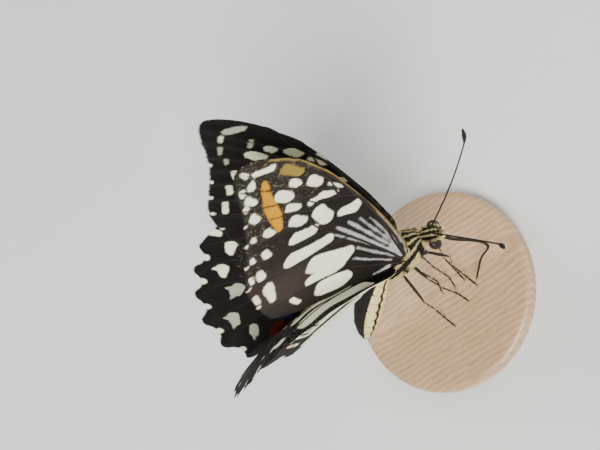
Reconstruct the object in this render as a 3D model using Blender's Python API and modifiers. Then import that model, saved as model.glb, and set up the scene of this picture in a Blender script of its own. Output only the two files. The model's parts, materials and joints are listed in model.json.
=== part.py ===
"""Citrus swallowtail, a still life-size model with raised wings on a small round base.

The insect is laid out in millimetres in its own frame: X towards its head, Y to its left,
Z out of its back. The last step pitches it head up and sets it on the base, in metres,
with the origin in the middle of the underside of the base.
"""
import math

import bmesh
import bpy
import numpy as np
from mathutils import Matrix, Vector
from mathutils.geometry import delaunay_2d_cdt

MM = 0.001
GAP = 0.3

# Driving sizes of the insect, in millimetres
MEMBRANE = 0.5
VEIN = 0.95
ROOT = 1.7
ROOT_REACH = 5.0
FEELER_LENGTH = 17.0
FEELER_RADIUS = 0.26
FEELER_TIP_RADIUS = 0.3
FEELER_BOW = 0.7
CLUB_RADIUS = 0.47
CLUB_SHARE = 0.95
CLUB_SPREAD = 0.045
HOOK_SHARE = 0.86
HOOK_TURN = (-0.2, 0.35, 0.7)
LEG_RADII = (0.62, 0.42, 0.32, 0.30, 0.30)
THIGH_SWELL = 0.10
# Along, to the side of and up from the neck, before the shift that turning the head gives
EYE_RADII = (0.90, 0.95, 1.15)
EYE_PLACE = (2.75, 1.36, -0.05)
EYE_SHIFT = (0.0, -0.28, 0.0)
ABDOMEN_LENGTH = 16.0
ABDOMEN_RINGS = 8
ABDOMEN_GROOVE = 0.10
RINGED_SHARE = 0.95

# How it stands
NOSE_UP = math.radians(10.0)
STANCE = 13.0
HEAD_TURN = math.radians(-24.0)
NECK = Vector((5.0, 0.0, 0.0))
BASE_RADIUS = 17.0
BASE_HEIGHT = 3.0
BASE_BEVEL = 0.7
BASE_CENTRE = (-3.5, -3.0)

# How fine the meshes are: counts, and spacings in millimetres
HEAD_STEP, HEAD_SIDES = 0.5, 16
THORAX_STEP, THORAX_SIDES = 0.7, 20
ABDOMEN_STEPS, ABDOMEN_SIDES = 40, 18
TUBE_SIDES = 8
FEELER_STEPS = 12
TONGUE_STEP = 1.3
BASE_SIDES, BASE_BEVEL_STEPS = 48, 3
FORE_EDGE_STEP = 3.4
HIND_FRONT_STEP = 4.0
HIND_INNER_STEP = 4.5
VEIN_STEP = 3.6
VEIN_FLANK = 0.42
VEIN_JOIN = 0.6
FLANK_CLEARANCE = 0.40
FLANK_TO_EDGE = 0.5
VEIN_TO_EDGE = 0.45

COLOURS = {
    "black": ((0.018, 0.014, 0.013), 0.62),
    "cream": ((0.72, 0.68, 0.47), 0.70),
    "eye": ((0.055, 0.028, 0.060), 0.18),
    "wood": ((0.62, 0.47, 0.31), 0.45),
}


def clear_scene():
    for thing in list(bpy.data.objects):
        bpy.data.objects.remove(thing)


def material(name):
    colour, roughness = COLOURS[name]
    made = bpy.data.materials.new(name)
    made.use_nodes = True
    shader = made.node_tree.nodes["Principled BSDF"]
    shader.inputs["Base Color"].default_value = (*colour, 1.0)
    shader.inputs["Roughness"].default_value = roughness
    return made


def smooth_path(points, step):
    """A Catmull-Rom curve through the points, sampled about every step."""
    known = [Vector(p) for p in points]
    ends = [known[0] * 2 - known[1]] + known + [known[-1] * 2 - known[-2]]
    path = []
    for a, b, c, d in zip(ends, ends[1:], ends[2:], ends[3:]):
        count = max(1, round((c - b).length / step))
        for i in range(count):
            t = i / count
            path.append(0.5 * (2 * b + (c - a) * t + (2 * a - 5 * b + 4 * c - d) * t ** 2
                               + (3 * b - a - 3 * c + d) * t ** 3))
    path.append(known[-1])
    return path


# Meshes, their cuts and unions
def mesh_object(name, bm, place):
    bmesh.ops.recalc_face_normals(bm, faces=bm.faces)
    mesh = bpy.data.meshes.new(name)
    bm.to_mesh(mesh)
    bm.free()
    made = bpy.data.objects.new(name, mesh)
    place.objects.link(made)
    return made


def ring_loft(bm, rings):
    """Join rings of equal count with quads, and close both ends."""
    loops = [[bm.verts.new(p) for p in ring] for ring in rings]
    for a, b in zip(loops, loops[1:]):
        for i in range(len(a)):
            j = (i + 1) % len(a)
            bm.faces.new((a[i], a[j], b[j], b[i]))
    bm.faces.new(list(reversed(loops[0])))
    bm.faces.new(loops[-1])


def tube(bm, path, radii, sides):
    """A round tube along a path, a radius for each point."""
    rings = []
    side = None
    for i, point in enumerate(path):
        ahead = (path[min(i + 1, len(path) - 1)] - path[max(i - 1, 0)]).normalized()
        if side is None:
            side = ahead.orthogonal().normalized()
        side = (side - ahead * side.dot(ahead)).normalized()
        up = ahead.cross(side)
        turns = [2 * math.pi * k / sides for k in range(sides)]
        rings.append([point + radii[i] * (side * math.cos(t) + up * math.sin(t)) for t in turns])
    ring_loft(bm, rings)


def ball(bm, centre, radii, turn=0.0, rings=8, sides=12):
    place = Matrix.Translation(centre) @ Matrix.Rotation(turn, 4, "Z") @ Matrix.Diagonal((*radii, 1.0))
    bmesh.ops.create_uvsphere(bm, u_segments=sides, v_segments=rings, radius=1.0, matrix=place)


def boolean(body, operation, collection):
    cut = body.modifiers.new(operation.lower(), "BOOLEAN")
    cut.operation = operation
    cut.operand_type = "COLLECTION"
    cut.collection = collection
    cut.solver = "EXACT"
    settled = body.evaluated_get(bpy.context.evaluated_depsgraph_get())
    mesh = bpy.data.meshes.new_from_object(settled)
    body.modifiers.clear()
    body.data = mesh
    for piece in list(collection.objects):
        bpy.data.objects.remove(piece)


def keep_largest(body):
    """Weld the mesh and keep its largest closed surface."""
    bm = bmesh.new()
    bm.from_mesh(body.data)
    bmesh.ops.remove_doubles(bm, verts=bm.verts, dist=0.0005)
    bmesh.ops.dissolve_degenerate(bm, dist=0.0005, edges=bm.edges)
    left = set(bm.verts)
    groups = []
    while left:
        group = set()
        front = [left.pop()]
        while front:
            vert = front.pop()
            group.add(vert)
            for edge in vert.link_edges:
                other = edge.other_vert(vert)
                if other in left:
                    left.discard(other)
                    front.append(other)
        groups.append(group)
    groups.sort(key=len)
    for group in groups[:-1]:
        bmesh.ops.delete(bm, geom=list(group), context="VERTS")
    bmesh.ops.triangulate(bm, faces=bm.faces)
    bm.to_mesh(body.data)
    bm.free()


# Body: rings along a bent midline, parted by thin cuts
# Each station: along, side, up, half width, half height above, half height below
HEAD_STATIONS = (
    (5.72, -0.28, -0.05, 1.10, 1.00, 1.00),
    (6.30, -0.58, 0.00, 1.55, 1.30, 1.30),
    (7.05, -0.98, 0.05, 1.70, 1.45, 1.55),
    (7.85, -1.34, 0.05, 1.60, 1.45, 1.65),
    (8.50, -1.62, -0.05, 1.20, 1.15, 1.45),
    (8.95, -1.78, -0.15, 0.50, 0.55, 0.80),
)
THORAX_STATIONS = (
    (5.40, -0.10, -0.05, 1.00, 1.00, 1.00),
    (4.80, 0.00, 0.00, 1.75, 1.65, 1.60),
    (4.10, 0.00, 0.00, 2.15, 2.10, 2.20),
    (2.80, 0.00, 0.05, 2.85, 2.80, 2.85),
    (1.00, 0.00, 0.05, 3.15, 3.10, 3.10),
    (-1.00, 0.00, 0.00, 3.15, 2.95, 3.15),
    (-2.80, 0.00, -0.10, 2.85, 2.45, 2.95),
    (-4.00, 0.00, -0.25, 2.20, 1.90, 2.20),
    (-4.55, -0.05, -0.35, 1.60, 1.45, 1.55),
)
ABDOMEN_STATIONS = (
    (0.00, 1.60, 1.50),
    (0.10, 2.05, 2.00),
    (0.30, 2.60, 2.60),
    (0.55, 2.75, 2.75),
    (0.75, 2.40, 2.40),
    (0.90, 1.65, 1.65),
    (0.97, 0.95, 1.00),
    (1.00, 0.40, 0.45),
)
ABDOMEN_START = Vector((-4.9, -0.08, -0.45))
ABDOMEN_YAW = (math.radians(8.0), math.radians(26.0))
ABDOMEN_DROP = (math.radians(14.0), math.radians(28.0))


def oval_rings(stations, step, sides, grow=0.0):
    """Rings at the stations of a body length, smoothly joined between them."""
    centres = smooth_path([s[:3] for s in stations], step)
    known = np.array([s[0] for s in stations])
    order = np.argsort(known)
    rings = []
    for i, centre in enumerate(centres):
        sizes = [np.interp(centre.x, known[order], np.array([s[k] for s in stations])[order])
                 for k in (3, 4, 5)]
        half, above, below = (size + grow for size in sizes)
        ahead = (centres[min(i + 1, len(centres) - 1)] - centres[max(i - 1, 0)]).normalized()
        side = Vector((0, 0, 1)).cross(ahead).normalized()
        up = ahead.cross(side)
        ring = []
        for k in range(sides):
            turn = 2 * math.pi * k / sides
            height = above if math.sin(turn) > 0 else below
            ring.append(centre + side * half * math.cos(turn) + up * height * math.sin(turn))
        rings.append(ring)
    if grow:
        ahead = (centres[0] - centres[1]).normalized()
        rings[0] = [p + ahead * grow for p in rings[0]]
        rings[-1] = [p - ahead * grow for p in rings[-1]]
    return rings


def head_solid(name, place, grow=0.0):
    bm = bmesh.new()
    ring_loft(bm, oval_rings(HEAD_STATIONS, HEAD_STEP, HEAD_SIDES, grow))
    return mesh_object(name, bm, place)


def thorax_solid(name, place, grow=0.0):
    bm = bmesh.new()
    ring_loft(bm, oval_rings(THORAX_STATIONS, THORAX_STEP, THORAX_SIDES, grow))
    return mesh_object(name, bm, place)


def abdomen_path(share):
    """Midline point and heading of the abdomen at a share of its length."""
    point = ABDOMEN_START.copy()
    heading = Vector((-1, 0, 0))
    for i in range(ABDOMEN_STEPS + 1):
        t = i / ABDOMEN_STEPS
        yaw = ABDOMEN_YAW[0] + (ABDOMEN_YAW[1] - ABDOMEN_YAW[0]) * t
        drop = ABDOMEN_DROP[0] + (ABDOMEN_DROP[1] - ABDOMEN_DROP[0]) * t
        heading = Vector((-math.cos(drop) * math.cos(yaw), -math.cos(drop) * math.sin(yaw), -math.sin(drop)))
        if t >= share:
            break
        point += heading * ABDOMEN_LENGTH / ABDOMEN_STEPS
    return point, heading


def abdomen_solid(name, place, grow=0.0):
    """Tapered rings, with a shallow groove where two segments meet."""
    shares, widths, heights = (np.array(column) for column in zip(*ABDOMEN_STATIONS))
    rings = []
    places = []
    width = RINGED_SHARE / ABDOMEN_RINGS
    for k in range(ABDOMEN_RINGS):
        start = width * k
        groove = ABDOMEN_GROOVE if k else 0.0
        places += [(start, groove), (start + 0.22 * width, 0.0), (start + 0.75 * width, -0.02)]
    places += [(RINGED_SHARE, ABDOMEN_GROOVE), ((RINGED_SHARE + 1.0) / 2, 0.0), (1.0, 0.0)]
    for share, inset in places:
        centre, heading = abdomen_path(share)
        side = Vector((0, 0, 1)).cross(heading).normalized()
        up = heading.cross(side)
        half = np.interp(share, shares, widths) - inset + grow
        tall = np.interp(share, shares, heights) - inset + grow
        turns = [2 * math.pi * k / ABDOMEN_SIDES for k in range(ABDOMEN_SIDES)]
        rings.append([centre + side * half * math.cos(t) + up * tall * math.sin(t) for t in turns])
    if grow:
        rings[0] = [p - abdomen_path(0.0)[1] * grow for p in rings[0]]
        rings[-1] = [p + abdomen_path(1.0)[1] * grow for p in rings[-1]]
    bm = bmesh.new()
    ring_loft(bm, rings)
    return mesh_object(name, bm, place)


# Wings: flat outlines and veins, outward and forward of the hinge
FORE_EDGE = ((0.0, 0.7), (3.4, 4.1), (7.6, 6.9), (13.6, 10.5), (18.6, 13.2), (24.1, 16.0), (30.1, 18.8),
             (36.1, 20.6), (40.5, 20.9), (43.2, 20.6), (44.5, 19.7), (44.3, 18.4), (43.0, 16.4),
             (40.9, 13.8), (38.8, 10.8), (37.0, 7.6), (35.2, 4.0), (32.9, 0.0), (30.6, -2.4), (28.0, -4.5),
             (25.7, -6.2), (23.2, -6.9), (20.4, -6.8), (15.5, -5.6), (8.3, -2.8), (3.3, -1.0), (0.0, -0.6))
FORE_VEINS = {
    "subcosta": ((0, 0.4), (9.5, 7.4), (19, 12.9), (27, 17.1)),
    "radius_stem": ((0, 0.2), (7, 5.1), (14, 10.1), (20.3, 13.9), (24.5, 14.2), (27.8, 13.4)),
    "radius_1": ((18.0, 12.7), (24.5, 15.9), (30.0, 18.3)),
    "radius_2": ((24.5, 14.2), (28.4, 17.2), (31.4, 18.2), (35.2, 20.1)),
    "radius_3": ((31.4, 18.2), (35.0, 17.8), (39.0, 18.0), (43.6, 18.9)),
    "radius_5": ((24.5, 14.2), (27.0, 15.8), (29.8, 15.7), (33.0, 16.1), (37.0, 16.3), (42.4, 16.4)),
    "media_1": ((27.8, 13.4), (30.6, 14.1), (34.5, 14.05), (40.4, 13.7)),
    "media_2": ((28.3, 12.4), (31.5, 12.35), (35.5, 11.8), (38.4, 10.7)),
    "media_3": ((27.4, 10.4), (30.2, 9.6), (34.0, 8.6), (37.0, 8.0)),
    "cross": ((27.8, 13.4), (28.3, 12.4), (27.4, 10.4), (23.8, 8.6)),
    "cubitus_stem": ((0, 0), (9, 3.7), (17.8, 6.9), (23.8, 8.6)),
    "cubitus_1": ((23.8, 8.6), (27.6, 6.6), (31.8, 4.9), (35.0, 4.2)),
    "cubitus_2": ((17.8, 6.9), (21.5, 5.2), (26.2, 2.6), (32.3, 0.4)),
    "anal": ((0, -0.2), (8, 0.1), (13.3, 0.35), (18.6, -1.45), (26.3, -5.5)),
}
HIND_TEETH = {
    "radius": (28.6, -5.2), "media_1": (29.0, -10.8), "media_2": (28.3, -16.6), "media_3": (26.4, -22.8),
    "cubitus_1": (22.4, -27.9), "cubitus_2": (17.0, -30.4), "anal": (11.0, -30.2),
}
HIND_COSTA = ((0.0, 0.8), (3.0, 4.0), (8.0, 6.6), (14.0, 7.2), (20.0, 5.2), (25.6, 0.4))
HIND_INNER = ((9.2, -26.5), (6.6, -20.0), (3.9, -13.0), (1.4, -6.0), (0.0, -0.8))
HIND_VEINS = {
    "subcosta": ((0, 0.3), (7, 2.0), (14, 2.6), (22.8, 2.4)),
    "radius_stem": ((0, 0), (6, -0.8), (13.2, -3.4)),
    "radius": ((13.2, -3.4), (18, -2.0), (23, -2.4), (27.8, -5.0)),
    "media_1": ((15.2, -5.4), (19.5, -6.0), (24.1, -7.4), (28.2, -10.5)),
    "media_2": ((15.8, -8.4), (20, -10.6), (24.2, -12.7), (27.5, -16.2)),
    "media_3": ((15.0, -11.6), (18.3, -14.6), (21.6, -18.0), (25.7, -22.3)),
    "cross": ((13.2, -3.4), (15.2, -5.4), (15.8, -8.4), (15.0, -11.6), (12.8, -12.6)),
    "cubitus_stem": ((0, -0.4), (4.2, -4.2), (9.0, -9.6), (12.8, -12.6)),
    "cubitus_1": ((12.8, -12.6), (16.4, -17.4), (19.4, -21.8), (21.9, -27.2)),
    "cubitus_2": ((9.0, -9.6), (12.8, -17.5), (15.7, -23.5), (16.7, -29.6)),
    "anal": ((0.2, -0.4), (2.8, -6.5), (5.6, -13.5), (8.6, -21.5), (11.2, -29.4)),
}
NOTCH_DEPTH = 1.3
# Shares of the way from tooth to tooth, and of the notch's depth there
NOTCH_SHAPE = ((0.0, 0.0), (0.14, 0.08), (0.31, 0.75), (0.5, 1.0), (0.69, 0.75), (0.86, 0.08))

# Hinge place, then sweep, raise and lean of each wing in degrees, and its camber and twist
HINGES = {"fore": (1.65, 2.3, 1.2), "hind": (-1.3, 2.0, 1.3)}
WING_ANGLES = {
    ("fore", "left"): (1.9, 85.2, -6.7), ("fore", "right"): (-0.6, 79.0, -12.2),
    ("hind", "left"): (23.5, 60.2, 4.4), ("hind", "right"): (30.0, 59.7, 8.2),
}
WING_BEND = {
    ("fore", "left"): (0.1, 0.07), ("fore", "right"): (0.85, 0.08),
    ("hind", "left"): (0.55, 0.01), ("hind", "right"): (3.2, 0.14),
}
WING_SPAN = {"fore": 46.0, "hind": 30.0}
# The inner margin of a hindwing turns down along the body instead of crossing its midline,
# and its front margin folds a little under the forewing
TUCK = 1.7
TUCK_SHARE = {"left": 0.12, "right": 0.2}
FRONT_FOLD = 0.25


def flat_path(points, step):
    return [p.to_2d() for p in smooth_path([Vector((*p, 0)) for p in points], step)]


def hind_edge():
    """Hindwing margin: teeth where veins end, and a notch between each two."""
    teeth = [Vector(p) for p in HIND_TEETH.values()]
    margin = flat_path(HIND_COSTA, HIND_FRONT_STEP)
    for a, b in zip(teeth, teeth[1:]):
        out = Vector((b - a).orthogonal()).normalized()
        for share, depth in NOTCH_SHAPE:
            margin.append(a.lerp(b, share) - out * NOTCH_DEPTH * depth * (-1 if out.dot(a) < 0 else 1))
    margin.append(teeth[-1])
    return margin + flat_path(HIND_INNER, HIND_INNER_STEP)


def wing_point(kind, side, u, v, lift=0.0):
    """A flat wing point in the insect's frame: bent, turned at its hinge, mirrored for the right."""
    sweep, raised, lean = (math.radians(a) for a in WING_ANGLES[kind, side])
    camber, twist = WING_BEND[kind, side]
    share = min(max(u / WING_SPAN[kind], 0.0), 1.0)
    bow = camber * math.sin(math.pi * share) + twist * v * share
    if kind == "hind":
        bow -= FRONT_FOLD * max(v, 0.0)
    turn = (Matrix.Rotation(raised, 3, "X") @ Matrix.Rotation(lean, 3, "Y") @ Matrix.Rotation(sweep, 3, "Z"))
    point = turn @ Vector((v, u, bow + lift)) + Vector(HINGES[kind])
    if kind == "hind" and point.y < TUCK:
        point.y = TUCK - (TUCK - point.y) * TUCK_SHARE[side]
    if side == "right":
        point.y = -point.y
    return point


def vein_marks(veins, edge):
    """Points along each vein with their flanks, and the edges that keep each ridge whole."""
    points = []
    lines = []

    def add(point, spread):
        for index, other in enumerate(points):
            if (other - point).length < spread:
                return index
        points.append(point)
        return len(points) - 1

    flanks = []
    for route in veins.values():
        path = flat_path(route, VEIN_STEP)
        indices = [add(p, VEIN_JOIN) for p in path]
        lines += [(a, b) for a, b in zip(indices, indices[1:]) if a != b]
        for a, b in zip(path, path[1:]):
            across = (b - a).orthogonal().normalized() * VEIN_FLANK
            flanks += [a.lerp(b, 0.5) + across, a.lerp(b, 0.5) - across]
    for flank in flanks:
        to_points = min((flank - p).length for p in points)
        to_edge = min((flank - p).length for p in edge)
        if to_points > FLANK_CLEARANCE and to_edge > FLANK_TO_EDGE:
            points.append(flank)
    return points, lines


def vein_distance(point, routes):
    best = 9.0
    for path in routes:
        for a, b in zip(path, path[1:]):
            span = b - a
            t = min(max((point - a).dot(span) / max(span.length_squared, 1e-9), 0.0), 1.0)
            best = min(best, (point - a - span * t).length)
    return best


def inside(point, outline):
    odd = False
    for a, b in zip(outline, outline[1:] + outline[:1]):
        if (a.y > point.y) != (b.y > point.y) and point.x < (b.x - a.x) * (point.y - a.y) / (b.y - a.y) + a.x:
            odd = not odd
    return odd


def wing(kind, side, place):
    edge = flat_path(FORE_EDGE, FORE_EDGE_STEP) if kind == "fore" else hind_edge()
    veins = FORE_VEINS if kind == "fore" else HIND_VEINS
    marks, lines = vein_marks(veins, edge)
    kept = [i for i, p in enumerate(marks)
            if inside(p, edge) and min((p - q).length for q in edge) > VEIN_TO_EDGE]
    number = {old: len(edge) + new for new, old in enumerate(kept)}
    points = edge + [marks[i] for i in kept]
    ridges = [(number[a], number[b]) for a, b in lines if a in number and b in number]
    rim = list(range(len(edge)))
    found = delaunay_2d_cdt(points, ridges, [rim], 1, 0.001)
    flat, faces = found[0], found[2]
    routes = [flat_path(route, VEIN_STEP) for route in veins.values()]
    name = f"{kind}wing_{side}"
    mesh = bpy.data.meshes.new(name)
    mesh.from_pydata([wing_point(kind, side, p.x, p.y) for p in flat], [], faces)
    made = bpy.data.objects.new(name, mesh)
    place.objects.link(made)
    depth = made.vertex_groups.new(name="depth")
    for index, point in enumerate(flat):
        near = vein_distance(point, routes)
        ridge = max(0.0, 1.0 - near / VEIN_FLANK)
        thick = MEMBRANE + (VEIN - MEMBRANE) * ridge
        root = max(0.0, 1.0 - point.length / ROOT_REACH)
        thick = max(thick, MEMBRANE + (ROOT - MEMBRANE) * root)
        depth.add([index], thick / ROOT, "REPLACE")
    shell = made.modifiers.new("membrane", "SOLIDIFY")
    shell.thickness = ROOT
    shell.offset = 0.0
    shell.vertex_group = "depth"
    shell.use_quality_normals = True
    settled = made.evaluated_get(bpy.context.evaluated_depsgraph_get())
    solid = bpy.data.meshes.new_from_object(settled)
    made.modifiers.clear()
    made.data = solid
    made.vertex_groups.clear()
    bm = bmesh.new()
    bm.from_mesh(solid)
    bmesh.ops.triangulate(bm, faces=bm.faces)
    bmesh.ops.recalc_face_normals(bm, faces=bm.faces)
    bm.to_mesh(solid)
    bm.free()
    return made


# Legs: hip, knee, shin end, heel and toe of each, in the insect's frame
def floor_point(x, y, above=0.0):
    """A point of the plane that the feet stand on, or above it."""
    z = -(STANCE - above + x * math.sin(NOSE_UP)) / math.cos(NOSE_UP)
    return Vector((x, y, z))


LEGS = {
    "leg_fore_right": ((3.2, -1.6, -2.0), (4.2, -3.0, -5.9), (1.4, -2.6, -9.4), (0.4, -4.6), (1.1, -6.2)),
    "leg_mid_right": ((-0.4, -1.9, -2.2), (-1.6, -3.6, -6.2), (-2.6, -4.4, -9.8), (-2.4, -5.9), (-1.5, -7.6)),
    "leg_hind_right": ((-2.6, -1.8, -1.8), (-4.6, -6.2, -6.6), (-6.0, -6.6, -10.2), (-6.4, -8.2), (-5.6, -9.9)),
    "leg_fore_left": ((3.3, 0.9, -2.0), (3.0, -0.2, -6.0), (0.6, -0.8, -9.6), (-0.9, -2.4), (-0.4, -4.1)),
    "leg_mid_left": ((0.6, 1.2, -2.4), (-0.6, 0.4, -5.8), (-2.0, -0.6, -9.2), (-2.6, -2.4), (-2.4, -4.2)),
    "leg_hind_left": ((-2.2, 1.2, -2.0), (-3.6, 1.6, -6.0), (-4.8, 0.0, -9.6), (-4.8, -1.9), (-4.9, -3.9)),
}
FOOT_RADIUS = 0.30
FOOT_SINK = 0.10


def leg(name, place):
    hip, knee, shin, heel, toe = LEGS[name]
    lift = FOOT_RADIUS - FOOT_SINK
    route = [Vector(hip), Vector(knee), Vector(shin), floor_point(*heel, lift), floor_point(*toe, lift)]
    path = []
    radii = []
    for i, (a, b) in enumerate(zip(route, route[1:])):
        swell = THIGH_SWELL if i == 0 else 0.0
        for t in (0.0, 0.33, 0.67) if i < 3 else (0.0, 0.5):
            path.append(a.lerp(b, t))
            radii.append(LEG_RADII[i] + (LEG_RADII[i + 1] - LEG_RADII[i]) * t + swell * math.sin(math.pi * t))
    path.append(route[-1])
    radii.append(LEG_RADII[-1])
    bm = bmesh.new()
    tube(bm, path, radii, TUBE_SIDES)
    normal = Vector((math.sin(NOSE_UP), 0, math.cos(NOSE_UP)))
    cut = bmesh.ops.bisect_plane(bm, geom=bm.verts[:] + bm.edges[:] + bm.faces[:], dist=1e-5,
                                 plane_co=floor_point(0, 0), plane_no=-normal, clear_outer=True)
    rim = [g for g in cut["geom_cut"] if isinstance(g, bmesh.types.BMEdge)]
    bmesh.ops.holes_fill(bm, edges=rim)
    return mesh_object(name, bm, place)


# Feelers and tongue
FEELERS = {
    "left": ((8.45, -0.62, 1.0), (0.937, 0.283, 0.281)),
    "right": ((8.15, -1.62, 0.95), (0.745, -0.651, 0.258)),
}
TONGUE = ((7.35, -1.25, -1.1), (7.7, -2.15, -3.6), (8.8, -3.05, -6.6), (9.2, -3.7, -8.6), (8.5, -4.15, -10.0),
          (5.8, -4.2, -11.2), (3.4, -5.0, -12.5), (2.0, -5.6, -13.1))
TONGUE_RADII = (0.36, 0.28)
# Along, to the side of and up from the head's midline
PALP_PLACE = (3.95, 0.52, -0.5)
PALP_RADII = (0.42, 0.40, 0.85)


def feeler(side, place):
    root, heading = FEELERS[side]
    out = 1 if side == "left" else -1
    heading = Vector(heading).normalized()
    up = Vector((0, 0, 1))
    hook_turn = Vector(HOOK_TURN)
    hook_turn.y *= out
    path = []
    radii = []
    for i in range(FEELER_STEPS + 1):
        t = i / FEELER_STEPS
        bow = FEELER_BOW * math.sin(math.pi * t)
        hook = max(0.0, (t - HOOK_SHARE) / (1.0 - HOOK_SHARE)) ** 2
        path.append(Vector(root) + heading * FEELER_LENGTH * t - up * bow + hook_turn * hook)
        swell = math.exp(-((t - CLUB_SHARE) / CLUB_SPREAD) ** 2)
        radii.append(FEELER_RADIUS + (CLUB_RADIUS - FEELER_RADIUS) * swell)
    radii[-1] = FEELER_TIP_RADIUS
    bm = bmesh.new()
    tube(bm, path, radii, TUBE_SIDES)
    return mesh_object(f"antenna_{side}", bm, place)


def tongue(place):
    path = smooth_path(TONGUE, TONGUE_STEP)
    start, end = TONGUE_RADII
    radii = [start + (end - start) * i / (len(path) - 1) for i in range(len(path))]
    bm = bmesh.new()
    tube(bm, path, radii, TUBE_SIDES)
    return mesh_object("proboscis", bm, place)


def eye(side, place, grow=0.0, name=None):
    out = 1 if side == "left" else -1
    turn = Matrix.Rotation(HEAD_TURN, 3, "Z")
    along, spread, up = EYE_PLACE
    centre = NECK + turn @ Vector((along, out * spread, up)) + Vector(EYE_SHIFT)
    bm = bmesh.new()
    ball(bm, centre, [r + grow for r in EYE_RADII], HEAD_TURN, 10, 14)
    return mesh_object(name or f"eye_{side}", bm, place)


def palps(place):
    """Two short scaly feelers in front of the mouth, close to the face."""
    turn = Matrix.Rotation(HEAD_TURN, 3, "Z")
    along, spread, up = PALP_PLACE
    for out in (1, -1):
        bm = bmesh.new()
        ball(bm, NECK + turn @ Vector((along, out * spread, up)), PALP_RADII, HEAD_TURN)
        mesh_object("palp", bm, place)


def stand(place):
    bm = bmesh.new()
    bmesh.ops.create_cone(bm, cap_ends=True, segments=BASE_SIDES, radius1=BASE_RADIUS, radius2=BASE_RADIUS,
                          depth=BASE_HEIGHT, matrix=Matrix.Translation((0, 0, BASE_HEIGHT / 2)))
    rim = [e for e in bm.edges if e.calc_face_angle(0) > 0.5]
    bmesh.ops.bevel(bm, geom=rim, offset=BASE_BEVEL, segments=BASE_BEVEL_STEPS, profile=0.5, affect="EDGES")
    return mesh_object("stand_base", bm, place)


def build():
    clear_scene()
    scene = bpy.context.scene
    model = bpy.data.collections.new("citrus_swallowtail")
    cutters = bpy.data.collections.new("cutters")
    scene.collection.children.link(model)
    scene.collection.children.link(cutters)
    paints = {name: material(name) for name in COLOURS}

    insect = []
    head = head_solid("head", model)
    palps(cutters)
    boolean(head, "UNION", cutters)
    for side in ("left", "right"):
        eye(side, cutters, GAP, "socket")
        boolean(head, "DIFFERENCE", cutters)
    insect.append(head)
    thorax = thorax_solid("thorax", model)
    insect.append(thorax)
    insect.append(abdomen_solid("abdomen", model))
    for side in ("left", "right"):
        insect.append(eye(side, model))
        grown = feeler(side, model)
        head_solid("cutter", cutters, GAP)
        boolean(grown, "DIFFERENCE", cutters)
        insect.append(grown)
        for kind in ("fore", "hind"):
            blade = wing(kind, side, model)
            thorax_solid("cutter", cutters, GAP)
            abdomen_solid("cutter", cutters, GAP)
            boolean(blade, "DIFFERENCE", cutters)
            insect.append(blade)
    mouth = tongue(model)
    head_solid("cutter", cutters, GAP)
    boolean(mouth, "DIFFERENCE", cutters)
    insect.append(mouth)
    for name in LEGS:
        limb = leg(name, model)
        thorax_solid("cutter", cutters, GAP)
        boolean(limb, "DIFFERENCE", cutters)
        insect.append(limb)

    pitch = Matrix.Rotation(-NOSE_UP, 4, "Y")
    drop = BASE_HEIGHT + GAP + STANCE
    place = Matrix.Translation((-BASE_CENTRE[0], -BASE_CENTRE[1], drop)) @ pitch
    for body in insect:
        keep_largest(body)
        body.data.transform(Matrix.Scale(MM, 4) @ place)
    base = stand(model)
    base.data.transform(Matrix.Scale(MM, 4))
    for body in insect + [base]:
        look = "wood" if body is base else "eye" if body.name.startswith("eye") else "black"
        if body.name in ("thorax", "abdomen"):
            look = "cream"
        body.data.materials.clear()
        body.data.materials.append(paints[look])
        body.data.shade_smooth()
        body.data.set_sharp_from_angle(angle=math.radians(40))
    return insect + [base]


build()
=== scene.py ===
# %% [markdown]
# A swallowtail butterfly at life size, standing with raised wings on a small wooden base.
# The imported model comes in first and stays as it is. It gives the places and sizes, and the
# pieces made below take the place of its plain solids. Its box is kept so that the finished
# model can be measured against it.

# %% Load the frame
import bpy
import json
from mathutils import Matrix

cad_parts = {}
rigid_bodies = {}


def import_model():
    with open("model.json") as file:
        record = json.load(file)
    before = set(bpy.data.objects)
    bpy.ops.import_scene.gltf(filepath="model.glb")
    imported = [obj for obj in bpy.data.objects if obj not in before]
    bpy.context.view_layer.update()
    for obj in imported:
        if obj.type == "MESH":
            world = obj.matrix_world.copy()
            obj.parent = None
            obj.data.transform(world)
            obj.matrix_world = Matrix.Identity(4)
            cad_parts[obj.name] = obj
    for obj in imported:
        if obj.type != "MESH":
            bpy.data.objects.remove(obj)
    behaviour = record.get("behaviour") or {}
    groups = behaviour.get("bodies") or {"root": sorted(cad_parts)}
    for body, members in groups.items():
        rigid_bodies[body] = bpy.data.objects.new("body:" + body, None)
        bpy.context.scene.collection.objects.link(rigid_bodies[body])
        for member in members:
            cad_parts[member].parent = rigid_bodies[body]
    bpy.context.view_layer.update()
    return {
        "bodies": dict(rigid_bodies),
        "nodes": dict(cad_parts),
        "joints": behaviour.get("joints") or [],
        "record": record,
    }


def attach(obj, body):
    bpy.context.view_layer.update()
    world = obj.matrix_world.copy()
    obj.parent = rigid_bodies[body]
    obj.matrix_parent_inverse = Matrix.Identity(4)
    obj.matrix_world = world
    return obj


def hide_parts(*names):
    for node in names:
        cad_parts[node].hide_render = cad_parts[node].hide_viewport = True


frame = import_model()

import json
import math

import bmesh
import bpy
import numpy as np
from mathutils import Matrix, Vector

MM = 0.001
random = np.random.default_rng(20)

# %% [markdown]
# The photo looks down on the insect's right side with the camera rolled and the insect's body
# tilted. Here it stands on its feet, so the camera turned with it. Its place and aim are in
# millimetres over the base, and the lens goes with a sensor 36 mm wide.

# %% Camera
CAMERA_PLACE = Vector((58.3, -48.0, 121.8))
CAMERA_AIM = Vector((-9.1, 16.7, 20.0))
CAMERA_UP = Vector((0.561, 0.815, 0.146))
LENS = 49.2
SENSOR = 36.0


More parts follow.
